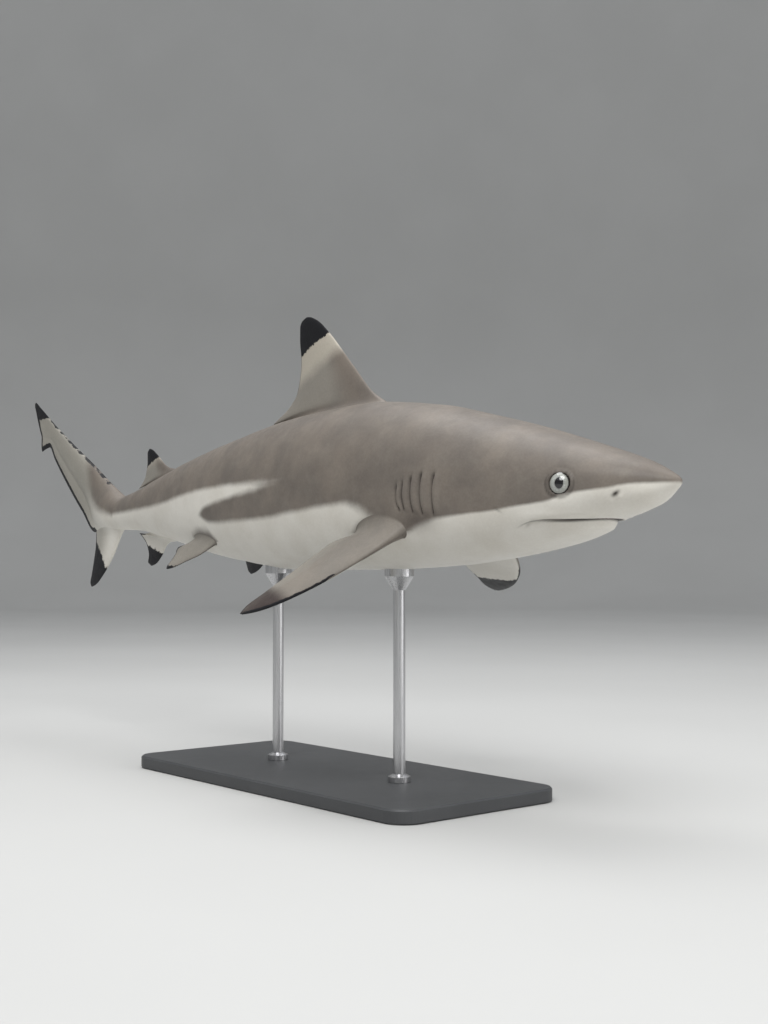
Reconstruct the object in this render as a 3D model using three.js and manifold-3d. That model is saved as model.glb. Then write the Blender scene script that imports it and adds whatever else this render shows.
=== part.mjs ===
// Blacktip reef shark (Carcharhinus melanopterus), adult, swimming: a still, life-size display model
// held by a plain stand of one flat base and two short rods.
// Millimetres. The nose points to +X, the shark's left side to +Y, up is +Z.
// The origin is the centre of the stand's underside.

import * as THREE from 'three';
import { mergeVertices } from 'three/addons/utils/BufferGeometryUtils.js';
import Module from 'manifold-3d';

const wasm = await Module();
wasm.setup();

const { lerp, smoothstep, degToRad } = THREE.MathUtils;

// ---------------------------------------------------------------------------------------------------
// Driving dimensions
// ---------------------------------------------------------------------------------------------------

const TOTAL_LENGTH = 1400; // nose to the tip of the upper tail lobe, along the body
const PERCENT = TOTAL_LENGTH / 100; // the shark's own measures below are percent of total length
const SEAM = 0.3; // clearance between neighbouring pieces, mm

// The shark's long axis: it turns and dips gently between the nose and the tail stem, in degrees.
const HEAD_TURN = 3.3;
const TAIL_TURN = -2.2;
const HEAD_DIP = -1.4;
const TAIL_DIP = 2.1;
const BEND_ENDS = 75;

// The stand, mm
const AXIS_HEIGHT = 350; // the shark's axis above the floor, over the middle of the base
const BASE_STATION = 37; // the place along the shark that is over the middle of the base
const BASE_LENGTH = 540;
const BASE_WIDTH = 240;
const BASE_THICKNESS = 16;
const BASE_CORNER = 28;
const BASE_EDGE = 2; // chamfer round the base
const ROD_RADIUS = 7;
const ROD_COLLAR_RADIUS = 13;
const ROD_COLLAR_HEIGHT = 6;
const ROD_PAD_RADIUS = 17;
const ROD_PAD_HEIGHT = 24;
const ROD_PAD_OVERRUN = 8; // of the pad past the belly's lowest line, cut away to the body's shape
const ROD_COLLAR_TAPER = 3;
const ROD_STATIONS = { front: 28, rear: 45 };

// Where the body is divided
const THROAT_ENDS = 12.6;
const HEAD_ENDS = 14.6;
const GILLS_END = 22.6;
const TRUNK_DIVIDES = 41;
const TRUNK_ENDS = 57;
const TAIL_STEM_ENDS = 75.4;

// Body girth: distance from the nose, height of the back over the axis, depth of the belly under it,
// and half of the width
const GIRTHS = [
  { at: 0, back: 0, belly: 0, half: 0 },
  { at: 1, back: 0.75, belly: 0.8, half: 1.15 },
  { at: 3, back: 1.55, belly: 1.75, half: 2.4 },
  { at: 5.5, back: 2.35, belly: 2.75, half: 3.6 },
  { at: 8, back: 3.1, belly: 3.85, half: 4.35 },
  { at: 12, back: 4.25, belly: 4.8, half: 5.15 },
  { at: 17, back: 5.5, belly: 5.6, half: 5.75 },
  { at: 23, back: 6.8, belly: 6.2, half: 6.1 },
  { at: 31, back: 7.6, belly: 6.5, half: 6.0 },
  { at: 40, back: 7.3, belly: 6.5, half: 5.4 },
  { at: 50, back: 6.2, belly: 5.5, half: 4.5 },
  { at: 58, back: 5.15, belly: 4.1, half: 3.5 },
  { at: 65, back: 4.0, belly: 2.55, half: 2.5 },
  { at: 71, back: 2.95, belly: 1.5, half: 1.8 },
  { at: 76, back: 2.35, belly: 1.1, half: 1.4 },
];
const BACK_ROUNDNESS = 2.15; // exponent of the section's upper half: 2 is an ellipse
const BELLY_FLATNESS = 0.55; // how much squarer the lower half is under the pectoral fins
const FLATTEST_AT = 22;
const FLATTENING_REACH = 20;

// Mouth: a U-shaped cut in the underside of the head
const MOUTH_FRONT = 5.5;
const MOUTH_CORNER = 10.4;
const MOUTH_HALF_WIDTH = 3.8;
const MOUTH_DEPTH = 2.55; // of its front under the axis
const MOUTH_SLOPE = 0.14; // how fast it falls away towards the corners
const JAW_BLOCK_FLOOR = -8; // below the throat

// Eyes
const EYE_AT = 7.4;
const EYE_UP = -0.07;
const EYE_RADIUS = 1.0;
const EYE_INSET = 0.72; // of the eyeball's centre inside the cheek
const EYE_FORWARD = 0.1;

// Resolution
const RING_POINTS = 26;
const HEAD_STEP = 1.0;
const TRUNK_STEP = 1.7;
const EYE_SEGMENTS = 16;
const EYE_RINGS = 10;
const ROD_SEGMENTS = 28;
const FIN_ROWS = 10;
const FIN_COLUMNS = 7;
const EDGE_HALF_THICKNESS = 0.4; // of every fin, mm

// ---------------------------------------------------------------------------------------------------
// Solids
// ---------------------------------------------------------------------------------------------------

function toManifold(geometry) {
  const bare = geometry.clone();
  bare.deleteAttribute('normal');
  bare.deleteAttribute('uv');
  const merged = mergeVertices(bare, 1e-3);
  return new wasm.Manifold(new wasm.Mesh({
    numProp: 3,
    vertProperties: merged.attributes.position.array,
    triVerts: Uint32Array.from(merged.index.array),
  }));
}

function toGeometry(manifold) {
  const mesh = manifold.getMesh();
  const geometry = new THREE.BufferGeometry();
  geometry.setAttribute('position', new THREE.BufferAttribute(mesh.vertProperties, 3));
  geometry.setIndex(new THREE.BufferAttribute(mesh.triVerts, 1));
  geometry.computeVertexNormals();
  return geometry;
}

function facetedGeometry(points, triangles) {
  const geometry = new THREE.BufferGeometry();
  geometry.setFromPoints(points);
  geometry.setIndex(triangles);
  return geometry;
}

// Joins closed rings of points into a solid, with a fan over each end.
function loftRings(rings) {
  const points = rings.flat();
  const triangles = [];
  const size = rings[0].length;
  for (let row = 0; row + 1 < rings.length; row++) {
    for (let i = 0; i < size; i++) {
      const next = (i + 1) % size;
      const a = row * size + i;
      const b = row * size + next;
      triangles.push(a, a + size, b, b, a + size, b + size);
    }
  }
  for (const [ring, start, reversed] of [
    [rings[0], 0, false],
    [rings.at(-1), (rings.length - 1) * size, true],
  ]) {
    const centre = ring.reduce((sum, p) => sum.add(p), new THREE.Vector3()).divideScalar(size);
    const hub = points.push(centre) - 1;
    for (let i = 0; i < size; i++) {
      const a = start + i;
      const b = start + (i + 1) % size;
      triangles.push(hub, reversed ? b : a, reversed ? a : b);
    }
  }
  return toManifold(facetedGeometry(points, triangles));
}

// ---------------------------------------------------------------------------------------------------
// The body's axis and sections
// ---------------------------------------------------------------------------------------------------

// Unit vectors forwards, to the left and up at a place along the body
function bodyDirections(at) {
  const bent = smoothstep(at, 0, BEND_ENDS);
  const turn = degToRad(lerp(HEAD_TURN, TAIL_TURN, bent));
  const dip = degToRad(lerp(HEAD_DIP, TAIL_DIP, bent));
  const forward = new THREE.Vector3(
    Math.cos(turn) * Math.cos(dip),
    Math.sin(turn) * Math.cos(dip),
    Math.sin(dip),
  );
  const left = new THREE.Vector3(-Math.sin(turn), Math.cos(turn), 0);
  return { forward, left, up: forward.clone().cross(left) };
}

const AXIS_STEP = 0.5;
const AXIS_POINTS = [new THREE.Vector3()];
for (let at = 0; at < 102; at += AXIS_STEP) {
  const stride = bodyDirections(at + AXIS_STEP / 2).forward.multiplyScalar(-AXIS_STEP * PERCENT);
  AXIS_POINTS.push(AXIS_POINTS.at(-1).clone().add(stride));
}

function axisPoint(at) {
  const place = Math.min(Math.max(at / AXIS_STEP, 0), AXIS_POINTS.length - 1.001);
  const index = Math.floor(place);
  return AXIS_POINTS[index].clone().lerp(AXIS_POINTS[index + 1], place - index);
}

const AXIS_SHIFT = new THREE.Vector3(0, 0, AXIS_HEIGHT).sub(axisPoint(BASE_STATION));

// A point given by its place along the body and its distances to the left of the axis and above it
function bodyPoint(at, left, up) {
  const directions = bodyDirections(at);
  return axisPoint(at)
    .add(AXIS_SHIFT)
    .addScaledVector(directions.left, left * PERCENT)
    .addScaledVector(directions.up, up * PERCENT);
}

// Monotone cubic interpolation through the girths. It runs over the square root of the distance from
// the nose, which rounds the snout's tip.
function slopesOf(xs, ys) {
  const spans = xs.slice(1).map((x, i) => x - xs[i]);
  const rises = spans.map((span, i) => (ys[i + 1] - ys[i]) / span);
  return xs.map((_, i) => {
    if (i === 0) return rises[0];
    if (i === xs.length - 1) return rises.at(-1);
    if (rises[i - 1] * rises[i] <= 0) return 0;
    const before = 2 * spans[i] + spans[i - 1];
    const after = spans[i] + 2 * spans[i - 1];
    return (before + after) / (before / rises[i - 1] + after / rises[i]);
  });
}

const GIRTH_PLACES = GIRTHS.map((girth) => Math.sqrt(girth.at));

function girthCurve(key) {
  const values = GIRTHS.map((girth) => girth[key]);
  const slopes = slopesOf(GIRTH_PLACES, values);
  return (at) => {
    const x = Math.min(Math.sqrt(Math.max(at, 0)), GIRTH_PLACES.at(-1));
    const i = Math.min(GIRTH_PLACES.findLastIndex((place) => place <= x), values.length - 2);
    const span = GIRTH_PLACES[i + 1] - GIRTH_PLACES[i];
    const t = (x - GIRTH_PLACES[i]) / span;
    const rise = values[i + 1] - values[i];
    const start = span * slopes[i];
    const end = span * slopes[i + 1];
    return values[i] + t * (start + t * (3 * rise - 2 * start - end + t * (start + end - 2 * rise)));
  };
}

const backAt = girthCurve('back');
const bellyAt = girthCurve('belly');
const halfWidthAt = girthCurve('half');

function bellyRoundness(at) {
  const reach = Math.min(Math.abs(at - FLATTEST_AT) / FLATTENING_REACH, 1);
  return BACK_ROUNDNESS + BELLY_FLATNESS * (1 - smoothstep(reach, 0, 1));
}

// One ring round the body: a superellipse, widest halfway between the back and the belly
function bodyRing(at, grow) {
  const back = backAt(at) + grow;
  const belly = bellyAt(at) + grow;
  const half = halfWidthAt(at) + grow;
  const middle = (back - belly) / 2;
  const reach = (back + belly) / 2;
  const ring = [];
  for (let i = 0; i < RING_POINTS; i++) {
    const angle = (2 * Math.PI * (i + 0.5)) / RING_POINTS;
    const across = Math.cos(angle);
    const upwards = Math.sin(angle);
    const power = 2 / (upwards > 0 ? BACK_ROUNDNESS : bellyRoundness(at));
    const left = half * Math.sign(across) * Math.abs(across) ** power;
    const up = middle + reach * Math.sign(upwards) * Math.abs(upwards) ** power;
    ring.push(bodyPoint(at, left, up));
  }
  return ring;
}

// A length of the body with flat ends. grow makes it fatter all round.
function bodyLength(from, to, grow = 0) {
  const rings = [];
  let at = from;
  while (at < to) {
    rings.push(bodyRing(at, grow));
    const step = at < HEAD_ENDS ? HEAD_STEP : TRUNK_STEP;
    at += Math.min(step, 0.3 + 0.5 * Math.max(at, 0));
  }
  rings.push(bodyRing(to, grow));
  return loftRings(rings);
}

const seam = SEAM / PERCENT;
const SNOUT_TIP = 0.03;
const clearOfBody = bodyLength(SNOUT_TIP, TAIL_STEM_ENDS, seam);

// ---------------------------------------------------------------------------------------------------
// Head, jaw and eyes
// ---------------------------------------------------------------------------------------------------

// The block of the head that holds the lower jaw, seen from above as a U, with a sloping top.
// shrink pulls its walls in.
function jawBlock(shrink) {
  const steps = 10;
  const curl = (MOUTH_CORNER - MOUTH_FRONT) / MOUTH_HALF_WIDTH ** 2;
  const rear = THROAT_ENDS - shrink;
  const side = Math.sqrt((THROAT_ENDS - MOUTH_FRONT) / curl);
  const outline = [];
  for (let i = -steps; i <= steps; i++) {
    const across = (side * i) / steps;
    outline.push(new THREE.Vector2(Math.min(MOUTH_FRONT + shrink + curl * across ** 2, rear), across));
  }
  const block = new THREE.ExtrudeGeometry(new THREE.Shape(outline), { depth: 1, bevelEnabled: false });
  const corners = block.attributes.position;
  for (let i = 0; i < corners.count; i++) {
    const at = corners.getX(i);
    const roof = -MOUTH_DEPTH - MOUTH_SLOPE * (at - MOUTH_FRONT) - shrink;
    const point = bodyPoint(at, -corners.getY(i), lerp(JAW_BLOCK_FLOOR, roof, corners.getZ(i)));
    corners.setXYZ(i, point.x, point.y, point.z);
  }
  return toManifold(block);
}

function eyeCentre(side) {
  const out = halfWidthAt(EYE_AT) - EYE_INSET;
  return bodyPoint(EYE_AT - EYE_FORWARD, side * out, EYE_UP);
}

function eyeGeometry(grow) {
  return new THREE.SphereGeometry(EYE_RADIUS * PERCENT + grow, EYE_SEGMENTS, EYE_RINGS);
}

function eyeSocket(side) {
  const centre = eyeCentre(side);
  return toManifold(eyeGeometry(SEAM)).translate([centre.x, centre.y, centre.z]);
}

function headSolid() {
  return bodyLength(SNOUT_TIP, HEAD_ENDS)
    .subtract(jawBlock(0))
    .subtract(eyeSocket(1))
    .subtract(eyeSocket(-1));
}

function jawSolid() {
  return bodyLength(SNOUT_TIP, HEAD_ENDS).intersect(jawBlock(seam));
}

// ---------------------------------------------------------------------------------------------------
// Fins
// ---------------------------------------------------------------------------------------------------

// Thickness across a fin from its leading edge (0) to its trailing edge (1), greatest one third back
function aerofoil(across) {
  return 2.6 * Math.sqrt(across) * (1 - across);
}

// A fin is given by its leading and trailing edges, each a smooth curve through points [x, y] that
// starts inside the body and ends at the tip, its half thickness at root and tip, and place(x, y, h),
// which puts a point of the fin's plane, raised by h, on the shark.
function finSolid({ leading, trailing, rootHalf, tipHalf, place }) {
  const front = new THREE.SplineCurve(leading.map(([x, y]) => new THREE.Vector2(x, y)));
  const rear = new THREE.SplineCurve(trailing.map(([x, y]) => new THREE.Vector2(x, y)));
  const edge = EDGE_HALF_THICKNESS / PERCENT;
  const rings = [];
  for (let row = 0; row <= FIN_ROWS; row++) {
    const span = row / FIN_ROWS;
    const a = front.getPoint(span);
    const b = rear.getPoint(span);
    const half = lerp(rootHalf, tipHalf, span);
    const upper = [];
    const lower = [];
    for (let column = 0; column <= FIN_COLUMNS; column++) {
      const across = (column / FIN_COLUMNS) ** 1.3;
      const rise = edge + half * aerofoil(across);
      const x = lerp(a.x, b.x, across);
      const y = lerp(a.y, b.y, across);
      upper.push(place(x, y, rise));
      lower.push(place(x, y, -rise));
    }
    rings.push([...upper, ...lower.reverse()]);
  }
  const solid = loftRings(rings);
  return solid.volume() < 0 ? loftRings(rings.reverse()) : solid;
}

function medianPlace(x, y, h) {
  return bodyPoint(x, h, y);
}

// A paired fin leaves the flank at root, slopes down by droop and is turned back by sweep, in degrees.
// side is 1 on the left, -1 on the right.
function pairedPlace(root, { droop, sweep }, side) {
  const tilt = degToRad(droop);
  const turn = degToRad(sweep);
  return (x, y, h) => {
    const back = x * Math.cos(turn) + y * Math.sin(turn);
    const out = y * Math.cos(turn) - x * Math.sin(turn);
    return bodyPoint(
      root.at + back,
      side * (root.out + out * Math.cos(tilt) + h * Math.sin(tilt)),
      root.up - out * Math.sin(tilt) + h * Math.cos(tilt) - root.pitch * back,
    );
  };
}

const FIRST_DORSAL = {
  leading: [[30.0, 6.6], [31.4, 8.6], [33.9, 11.1], [37.0, 14.25], [38.9, 15.85], [39.9, 16.25]],
  trailing: [[45.6, 6.6], [43.9, 7.8], [41.9, 9.6], [41.4, 12.4], [41.6, 14.6], [41.2, 15.7]],
  rootHalf: 0.55,
  tipHalf: 0.08,
  place: medianPlace,
};

const SECOND_DORSAL = {
  leading: [[63.2, 3.7], [65.4, 4.9], [67.6, 6.3], [69.1, 7.15]],
  trailing: [[71.9, 2.8], [70.4, 3.9], [69.9, 5.5], [69.7, 6.8]],
  rootHalf: 0.35,
  tipHalf: 0.06,
  place: medianPlace,
};

const ANAL = {
  leading: [[63.2, -2.2], [65.4, -3.2], [66.9, -4.5], [68.8, -5.3]],
  trailing: [[71.9, -1.3], [70.1, -2.7], [69.7, -4.2], [70.0, -5.0]],
  rootHalf: 0.35,
  tipHalf: 0.06,
  place: medianPlace,
};

const UPPER_CAUDAL = {
  leading: [[75.6, 2.3], [80.4, 5.35], [86.0, 8.45], [91.6, 11.6], [96.4, 14.5], [99.6, 16.3]],
  trailing: [[75.6, -1.05], [82.5, -1.0], [87.0, 2.7], [93.3, 8.7], [97.3, 10.8], [99.4, 14.9]],
  rootHalf: 1.1,
  tipHalf: 0.06,
  place: medianPlace,
};

const LOWER_CAUDAL = {
  leading: [[75.9, -1.5], [77.9, -3.7], [80.8, -5.95], [83.2, -7.1]],
  trailing: [[82.4, -1.4], [82.6, -2.9], [83.4, -4.8], [84.05, -6.6]],
  rootHalf: 0.45,
  tipHalf: 0.06,
  place: medianPlace,
};

const PECTORAL = {
  leading: [[0.4, -2.4], [0.8, 0.6], [2.65, 4.0], [5.2, 7.3], [8.2, 9.5], [10.2, 10.0]],
  trailing: [[5.4, -2.4], [7.0, 0.2], [8.9, 1.7], [9.75, 4.4], [10.6, 7.2], [11.3, 9.3]],
  rootHalf: 0.75,
  tipHalf: 0.1,
};
const PECTORAL_ROOT = { at: 20.7, out: 5.3, up: -3.2, pitch: 0.06 };
const PECTORAL_SET = { left: { droop: 25.5, sweep: -2.5 }, right: { droop: 37.3, sweep: 0.5 } };

const PELVIC = {
  leading: [[0.2, -1.6], [1.2, 0.2], [3.8, 1.7], [6.1, 2.5]],
  trailing: [[4.6, -1.6], [7.2, -0.4], [6.9, 1.2], [6.8, 2.3]],
  rootHalf: 0.4,
  tipHalf: 0.06,
};
const PELVIC_ROOT = { at: 49.8, out: 3.6, up: -4.1, pitch: 0 };
const PELVIC_SET = { left: { droop: 73, sweep: 0 }, right: { droop: 50, sweep: 0 } };

function rootedFin(fin) {
  return finSolid(fin).subtract(clearOfBody);
}

function pairedFin(fin, root, set, side) {
  return rootedFin({ ...fin, place: pairedPlace(root, set, side) });
}

// ---------------------------------------------------------------------------------------------------
// Stand
// ---------------------------------------------------------------------------------------------------

function baseGeometry() {
  const halfLength = BASE_LENGTH / 2 - BASE_EDGE;
  const halfWidth = BASE_WIDTH / 2 - BASE_EDGE;
  const corner = BASE_CORNER - BASE_EDGE;
  const outline = new THREE.Shape();
  outline.absarc(halfLength - corner, halfWidth - corner, corner, 0, Math.PI / 2);
  outline.absarc(-halfLength + corner, halfWidth - corner, corner, Math.PI / 2, Math.PI);
  outline.absarc(-halfLength + corner, -halfWidth + corner, corner, Math.PI, 1.5 * Math.PI);
  outline.absarc(halfLength - corner, -halfWidth + corner, corner, 1.5 * Math.PI, 2 * Math.PI);
  const plate = new THREE.ExtrudeGeometry(outline, {
    depth: BASE_THICKNESS - 2 * BASE_EDGE,
    bevelThickness: BASE_EDGE,
    bevelSize: BASE_EDGE,
    bevelSegments: 1,
    curveSegments: 6,
  });
  return plate.translate(0, 0, BASE_EDGE);
}

// A rod with a collar at its foot and a pad at its top, which is cut to the shape of the belly
function rodSolid(station) {
  const top = bodyPoint(station, 0, -bellyAt(station));
  const foot = BASE_THICKNESS + SEAM;
  const reach = top.z + ROD_PAD_OVERRUN;
  const padStarts = top.z - ROD_PAD_HEIGHT;
  const profile = [
    [0, foot],
    [ROD_COLLAR_RADIUS, foot],
    [ROD_COLLAR_RADIUS, foot + ROD_COLLAR_HEIGHT],
    [ROD_RADIUS, foot + ROD_COLLAR_HEIGHT + ROD_COLLAR_TAPER],
    [ROD_RADIUS, padStarts],
    [ROD_PAD_RADIUS, top.z - ROD_PAD_OVERRUN],
    [ROD_PAD_RADIUS, reach],
    [0, reach],
  ].map(([radius, height]) => new THREE.Vector2(radius, height));
  const rod = new THREE.LatheGeometry(profile, ROD_SEGMENTS).rotateX(Math.PI / 2).translate(top.x, top.y, 0);
  return toManifold(rod).subtract(clearOfBody);
}

// ---------------------------------------------------------------------------------------------------
// The model
// ---------------------------------------------------------------------------------------------------

const SKIN = {
  back: { color: 0x8a7d72, roughness: 0.45 },
  pale: { color: 0xd9dbd2, roughness: 0.45 },
  fin: { color: 0x8f8378, roughness: 0.5 },
};
const EYE_FINISH = { color: 0xc9cdc6, roughness: 0.08 };
const STAND_FINISH = { color: 0xe8e6e1, roughness: 0.4 };
const ROD_FINISH = { color: 0xb8babd, roughness: 0.3, metalness: 1 };

const group = new THREE.Group();

function addPiece(name, geometry, finish) {
  const mesh = new THREE.Mesh(geometry, new THREE.MeshStandardMaterial({ metalness: 0, ...finish }));
  mesh.name = name;
  group.add(mesh);
  return mesh;
}

addPiece('head', toGeometry(headSolid()), SKIN.back);
addPiece('lower_jaw', toGeometry(jawSolid()), SKIN.pale);
addPiece('gill_region', toGeometry(bodyLength(HEAD_ENDS + seam, GILLS_END)), SKIN.back);
addPiece('trunk_front', toGeometry(bodyLength(GILLS_END + seam, TRUNK_DIVIDES)), SKIN.back);
addPiece('trunk_rear', toGeometry(bodyLength(TRUNK_DIVIDES + seam, TRUNK_ENDS)), SKIN.back);
addPiece('tail_stem', toGeometry(bodyLength(TRUNK_ENDS + seam, TAIL_STEM_ENDS)), SKIN.back);

for (const [name, side] of [['eye_left', 1], ['eye_right', -1]]) {
  addPiece(name, eyeGeometry(0), EYE_FINISH).position.copy(eyeCentre(side));
}

addPiece('dorsal_fin_first', toGeometry(rootedFin(FIRST_DORSAL)), SKIN.fin);
addPiece('dorsal_fin_second', toGeometry(rootedFin(SECOND_DORSAL)), SKIN.fin);
addPiece('anal_fin', toGeometry(rootedFin(ANAL)), SKIN.pale);
for (const [name, side] of [['left', 1], ['right', -1]]) {
  const pectoral = pairedFin(PECTORAL, PECTORAL_ROOT, PECTORAL_SET[name], side);
  const pelvic = pairedFin(PELVIC, PELVIC_ROOT, PELVIC_SET[name], side);
  addPiece(`pectoral_fin_${name}`, toGeometry(pectoral), SKIN.fin);
  addPiece(`pelvic_fin_${name}`, toGeometry(pelvic), SKIN.fin);
}
addPiece('caudal_fin_upper', toGeometry(rootedFin(UPPER_CAUDAL)), SKIN.fin);
addPiece('caudal_fin_lower', toGeometry(rootedFin(LOWER_CAUDAL)), SKIN.fin);

addPiece('stand_base', baseGeometry(), STAND_FINISH);
addPiece('stand_rod_front', toGeometry(rodSolid(ROD_STATIONS.front)), ROD_FINISH);
addPiece('stand_rod_rear', toGeometry(rodSolid(ROD_STATIONS.rear)), ROD_FINISH);

export default group;
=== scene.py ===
"""Looks of the blacktip reef shark display model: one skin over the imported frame, glass eyes, stand, floor and light.

Metres in the scene. The shark's own measures are percent of its total length along its axis: `at` runs back from
the nose, `left` and `up` run out from the axis.
"""
import math
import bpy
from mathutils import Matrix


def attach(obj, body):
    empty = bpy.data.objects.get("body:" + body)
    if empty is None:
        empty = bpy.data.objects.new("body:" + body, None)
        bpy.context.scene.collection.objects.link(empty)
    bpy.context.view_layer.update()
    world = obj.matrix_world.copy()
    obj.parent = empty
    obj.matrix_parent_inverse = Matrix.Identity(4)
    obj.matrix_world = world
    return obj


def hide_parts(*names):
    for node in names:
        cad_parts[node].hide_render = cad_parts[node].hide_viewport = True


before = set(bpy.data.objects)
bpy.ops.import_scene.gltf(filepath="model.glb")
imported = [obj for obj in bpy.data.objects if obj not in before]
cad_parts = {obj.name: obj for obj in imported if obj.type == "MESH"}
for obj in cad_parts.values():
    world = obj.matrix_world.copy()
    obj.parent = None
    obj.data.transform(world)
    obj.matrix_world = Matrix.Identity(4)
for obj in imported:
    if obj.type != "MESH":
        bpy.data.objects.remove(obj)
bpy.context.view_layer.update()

from types import SimpleNamespace

import bmesh
import bpy
import numpy as np
from mathutils import Vector

PERCENT = 0.014  # metres in one percent of total length
MM = 0.001 / PERCENT  # percent in one millimetre
FAR = 99.0  # percent, further than anything on the shark
FLESH = [
    "head", "lower_jaw", "gill_region", "trunk_front", "trunk_rear", "tail_stem",
    "dorsal_fin_first", "dorsal_fin_second", "anal_fin",
    "pectoral_fin_left", "pectoral_fin_right", "pelvic_fin_left", "pelvic_fin_right",
    "caudal_fin_upper", "caudal_fin_lower",
]


# ---- Curves
def smooth(x, start=0.0, end=1.0):
    """0 before start, 1 after end, an S between."""
    t = np.clip((np.asarray(x, float) - start) / (end - start), 0, 1)
    return t * t * (3 - 2 * t)


def hill(x, centre, width):
    """A bell of height 1."""
    return np.exp(-(((x - centre) / width) ** 2))


def monotone(knots, values):
    """The smooth curve through the values that never overshoots them (Fritsch-Carlson)."""
    knots, values = np.asarray(knots, float), np.asarray(values, float)
    table = values if values.ndim == 2 else values[:, None]
    h = np.diff(knots)[:, None]
    d = np.diff(table, axis=0) / h
    slope = np.zeros_like(table)
    slope[0], slope[-1] = d[0], d[-1]
    a, b = 2 * h[1:] + h[:-1], h[1:] + 2 * h[:-1]
    same_sign = d[:-1] * d[1:] > 0
    before, after = np.where(same_sign, d[:-1], 1), np.where(same_sign, d[1:], 1)
    slope[1:-1] = np.where(same_sign, (a + b) * before * after / (a * after + b * before), 0)

    def curve(x):
        x = np.clip(np.asarray(x, float), knots[0], knots[-1])
        k = np.clip(np.searchsorted(knots, x, side="right") - 1, 0, len(knots) - 2)
        t = ((x - knots[k]) / h[k, 0])[..., None]
        out = (
            table[k] * (1 + 2 * t) * (1 - t) ** 2
            + slope[k] * h[k] * t * (1 - t) ** 2
            + table[k + 1] * t * t * (3 - 2 * t)
            - slope[k + 1] * h[k] * t * t * (1 - t)
        )
        return out if values.ndim == 2 else out[..., 0]

    return curve


# ---- The body: superellipse sections along a gently curved axis, the same as the CAD's
HEAD_TURN, TAIL_TURN, HEAD_DIP, TAIL_DIP, BEND_ENDS = 3.3, -2.2, -1.4, 2.1, 75
AXIS_HEIGHT, BASE_STATION = 0.350, 37
UPPER_POWER, BELLY_POWER, BELLY_FLATTEST, BELLY_FADES = 2.15, 0.55, 22, 20
GIRTHS = [  # at, back, belly, half width
    (0, 0, 0, 0), (1, 0.75, 0.8, 1.15), (3, 1.55, 1.75, 2.4), (5.5, 2.35, 2.75, 3.6), (8, 3.1, 3.85, 4.35),
    (12, 4.25, 4.8, 5.15), (17, 5.5, 5.6, 5.75), (23, 6.8, 6.2, 6.1), (31, 7.6, 6.5, 6.0),
    (40, 7.3, 6.5, 5.4), (50, 6.2, 5.5, 4.5), (58, 5.15, 4.1, 3.5), (65, 4.0, 2.55, 2.5),
    (71, 2.95, 1.5, 1.8), (76, 2.35, 1.1, 1.4),
]
STEM_ENDS = 75.4  # the tail stem passes into the upper tail lobe here
_girth = monotone(np.sqrt([g[0] for g in GIRTHS]), [g[1:] for g in GIRTHS])


def girth(at):
    g = _girth(np.sqrt(np.clip(at, 0, 76)))
    return g[..., 0], g[..., 1], g[..., 2]


def axis_directions(at):
    k = smooth(at, 0, BEND_ENDS)
    turn = np.radians(HEAD_TURN + (TAIL_TURN - HEAD_TURN) * k)
    dip = np.radians(HEAD_DIP + (TAIL_DIP - HEAD_DIP) * k)
    forward = np.stack([np.cos(turn) * np.cos(dip), np.sin(turn) * np.cos(dip), np.sin(dip)], -1)
    left = np.stack([-np.sin(turn), np.cos(turn), 0 * turn], -1)
    return forward, left, np.cross(forward, left)


AXIS_STEP = 0.5
AXIS_AT = np.arange(0, 102.01, AXIS_STEP)
_steps = axis_directions(AXIS_AT[:-1] + AXIS_STEP / 2)[0] * -AXIS_STEP * PERCENT
AXIS = np.concatenate([np.zeros((1, 3)), np.cumsum(_steps, 0)])
AXIS += (0, 0, AXIS_HEIGHT) - np.array([np.interp(BASE_STATION, AXIS_AT, AXIS[:, k]) for k in range(3)])


def body_point(at, left, up):
    at, left, up = np.broadcast_arrays(*(np.asarray(v, float) for v in (at, left, up)))
    _, l, u = axis_directions(at)
    p = np.stack([np.interp(at, AXIS_AT, AXIS[:, k]) for k in range(3)], -1)
    return p + PERCENT * (l * left[..., None] + u * up[..., None])


def belly_power(at):
    return UPPER_POWER + BELLY_POWER * (1 - smooth(np.abs(at - BELLY_FLATTEST) / BELLY_FADES))


def section(at, angle):
    """Left and up of the skin; the angle runs from the back (0) down the left side (positive) or the right."""
    back, belly, half = girth(at)
    c, s = np.cos(angle), np.sin(angle)
    power = 2 / np.where(c > 0, UPPER_POWER, belly_power(at))
    left = half * np.sign(s) * np.abs(s) ** power
    return left, (back - belly) / 2 + (back + belly) / 2 * np.sign(c) * np.abs(c) ** power


def in_section(at, left, up):
    """Left and up as shares of the section's half width and half height, and the section's power there."""
    back, belly, half = girth(at)
    high = (up - (back - belly) / 2) / ((back + belly) / 2)
    return np.abs(left) / half, high, np.where(high > 0, UPPER_POWER, belly_power(at))


def section_angle(at, left, up):
    """The angle (0 to pi) of a point of the skin on either side."""
    wide, high, power = in_section(at, left, up)
    return np.arctan2(wide ** (power / 2), np.sign(high) * np.abs(high) ** (power / 2))


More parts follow.
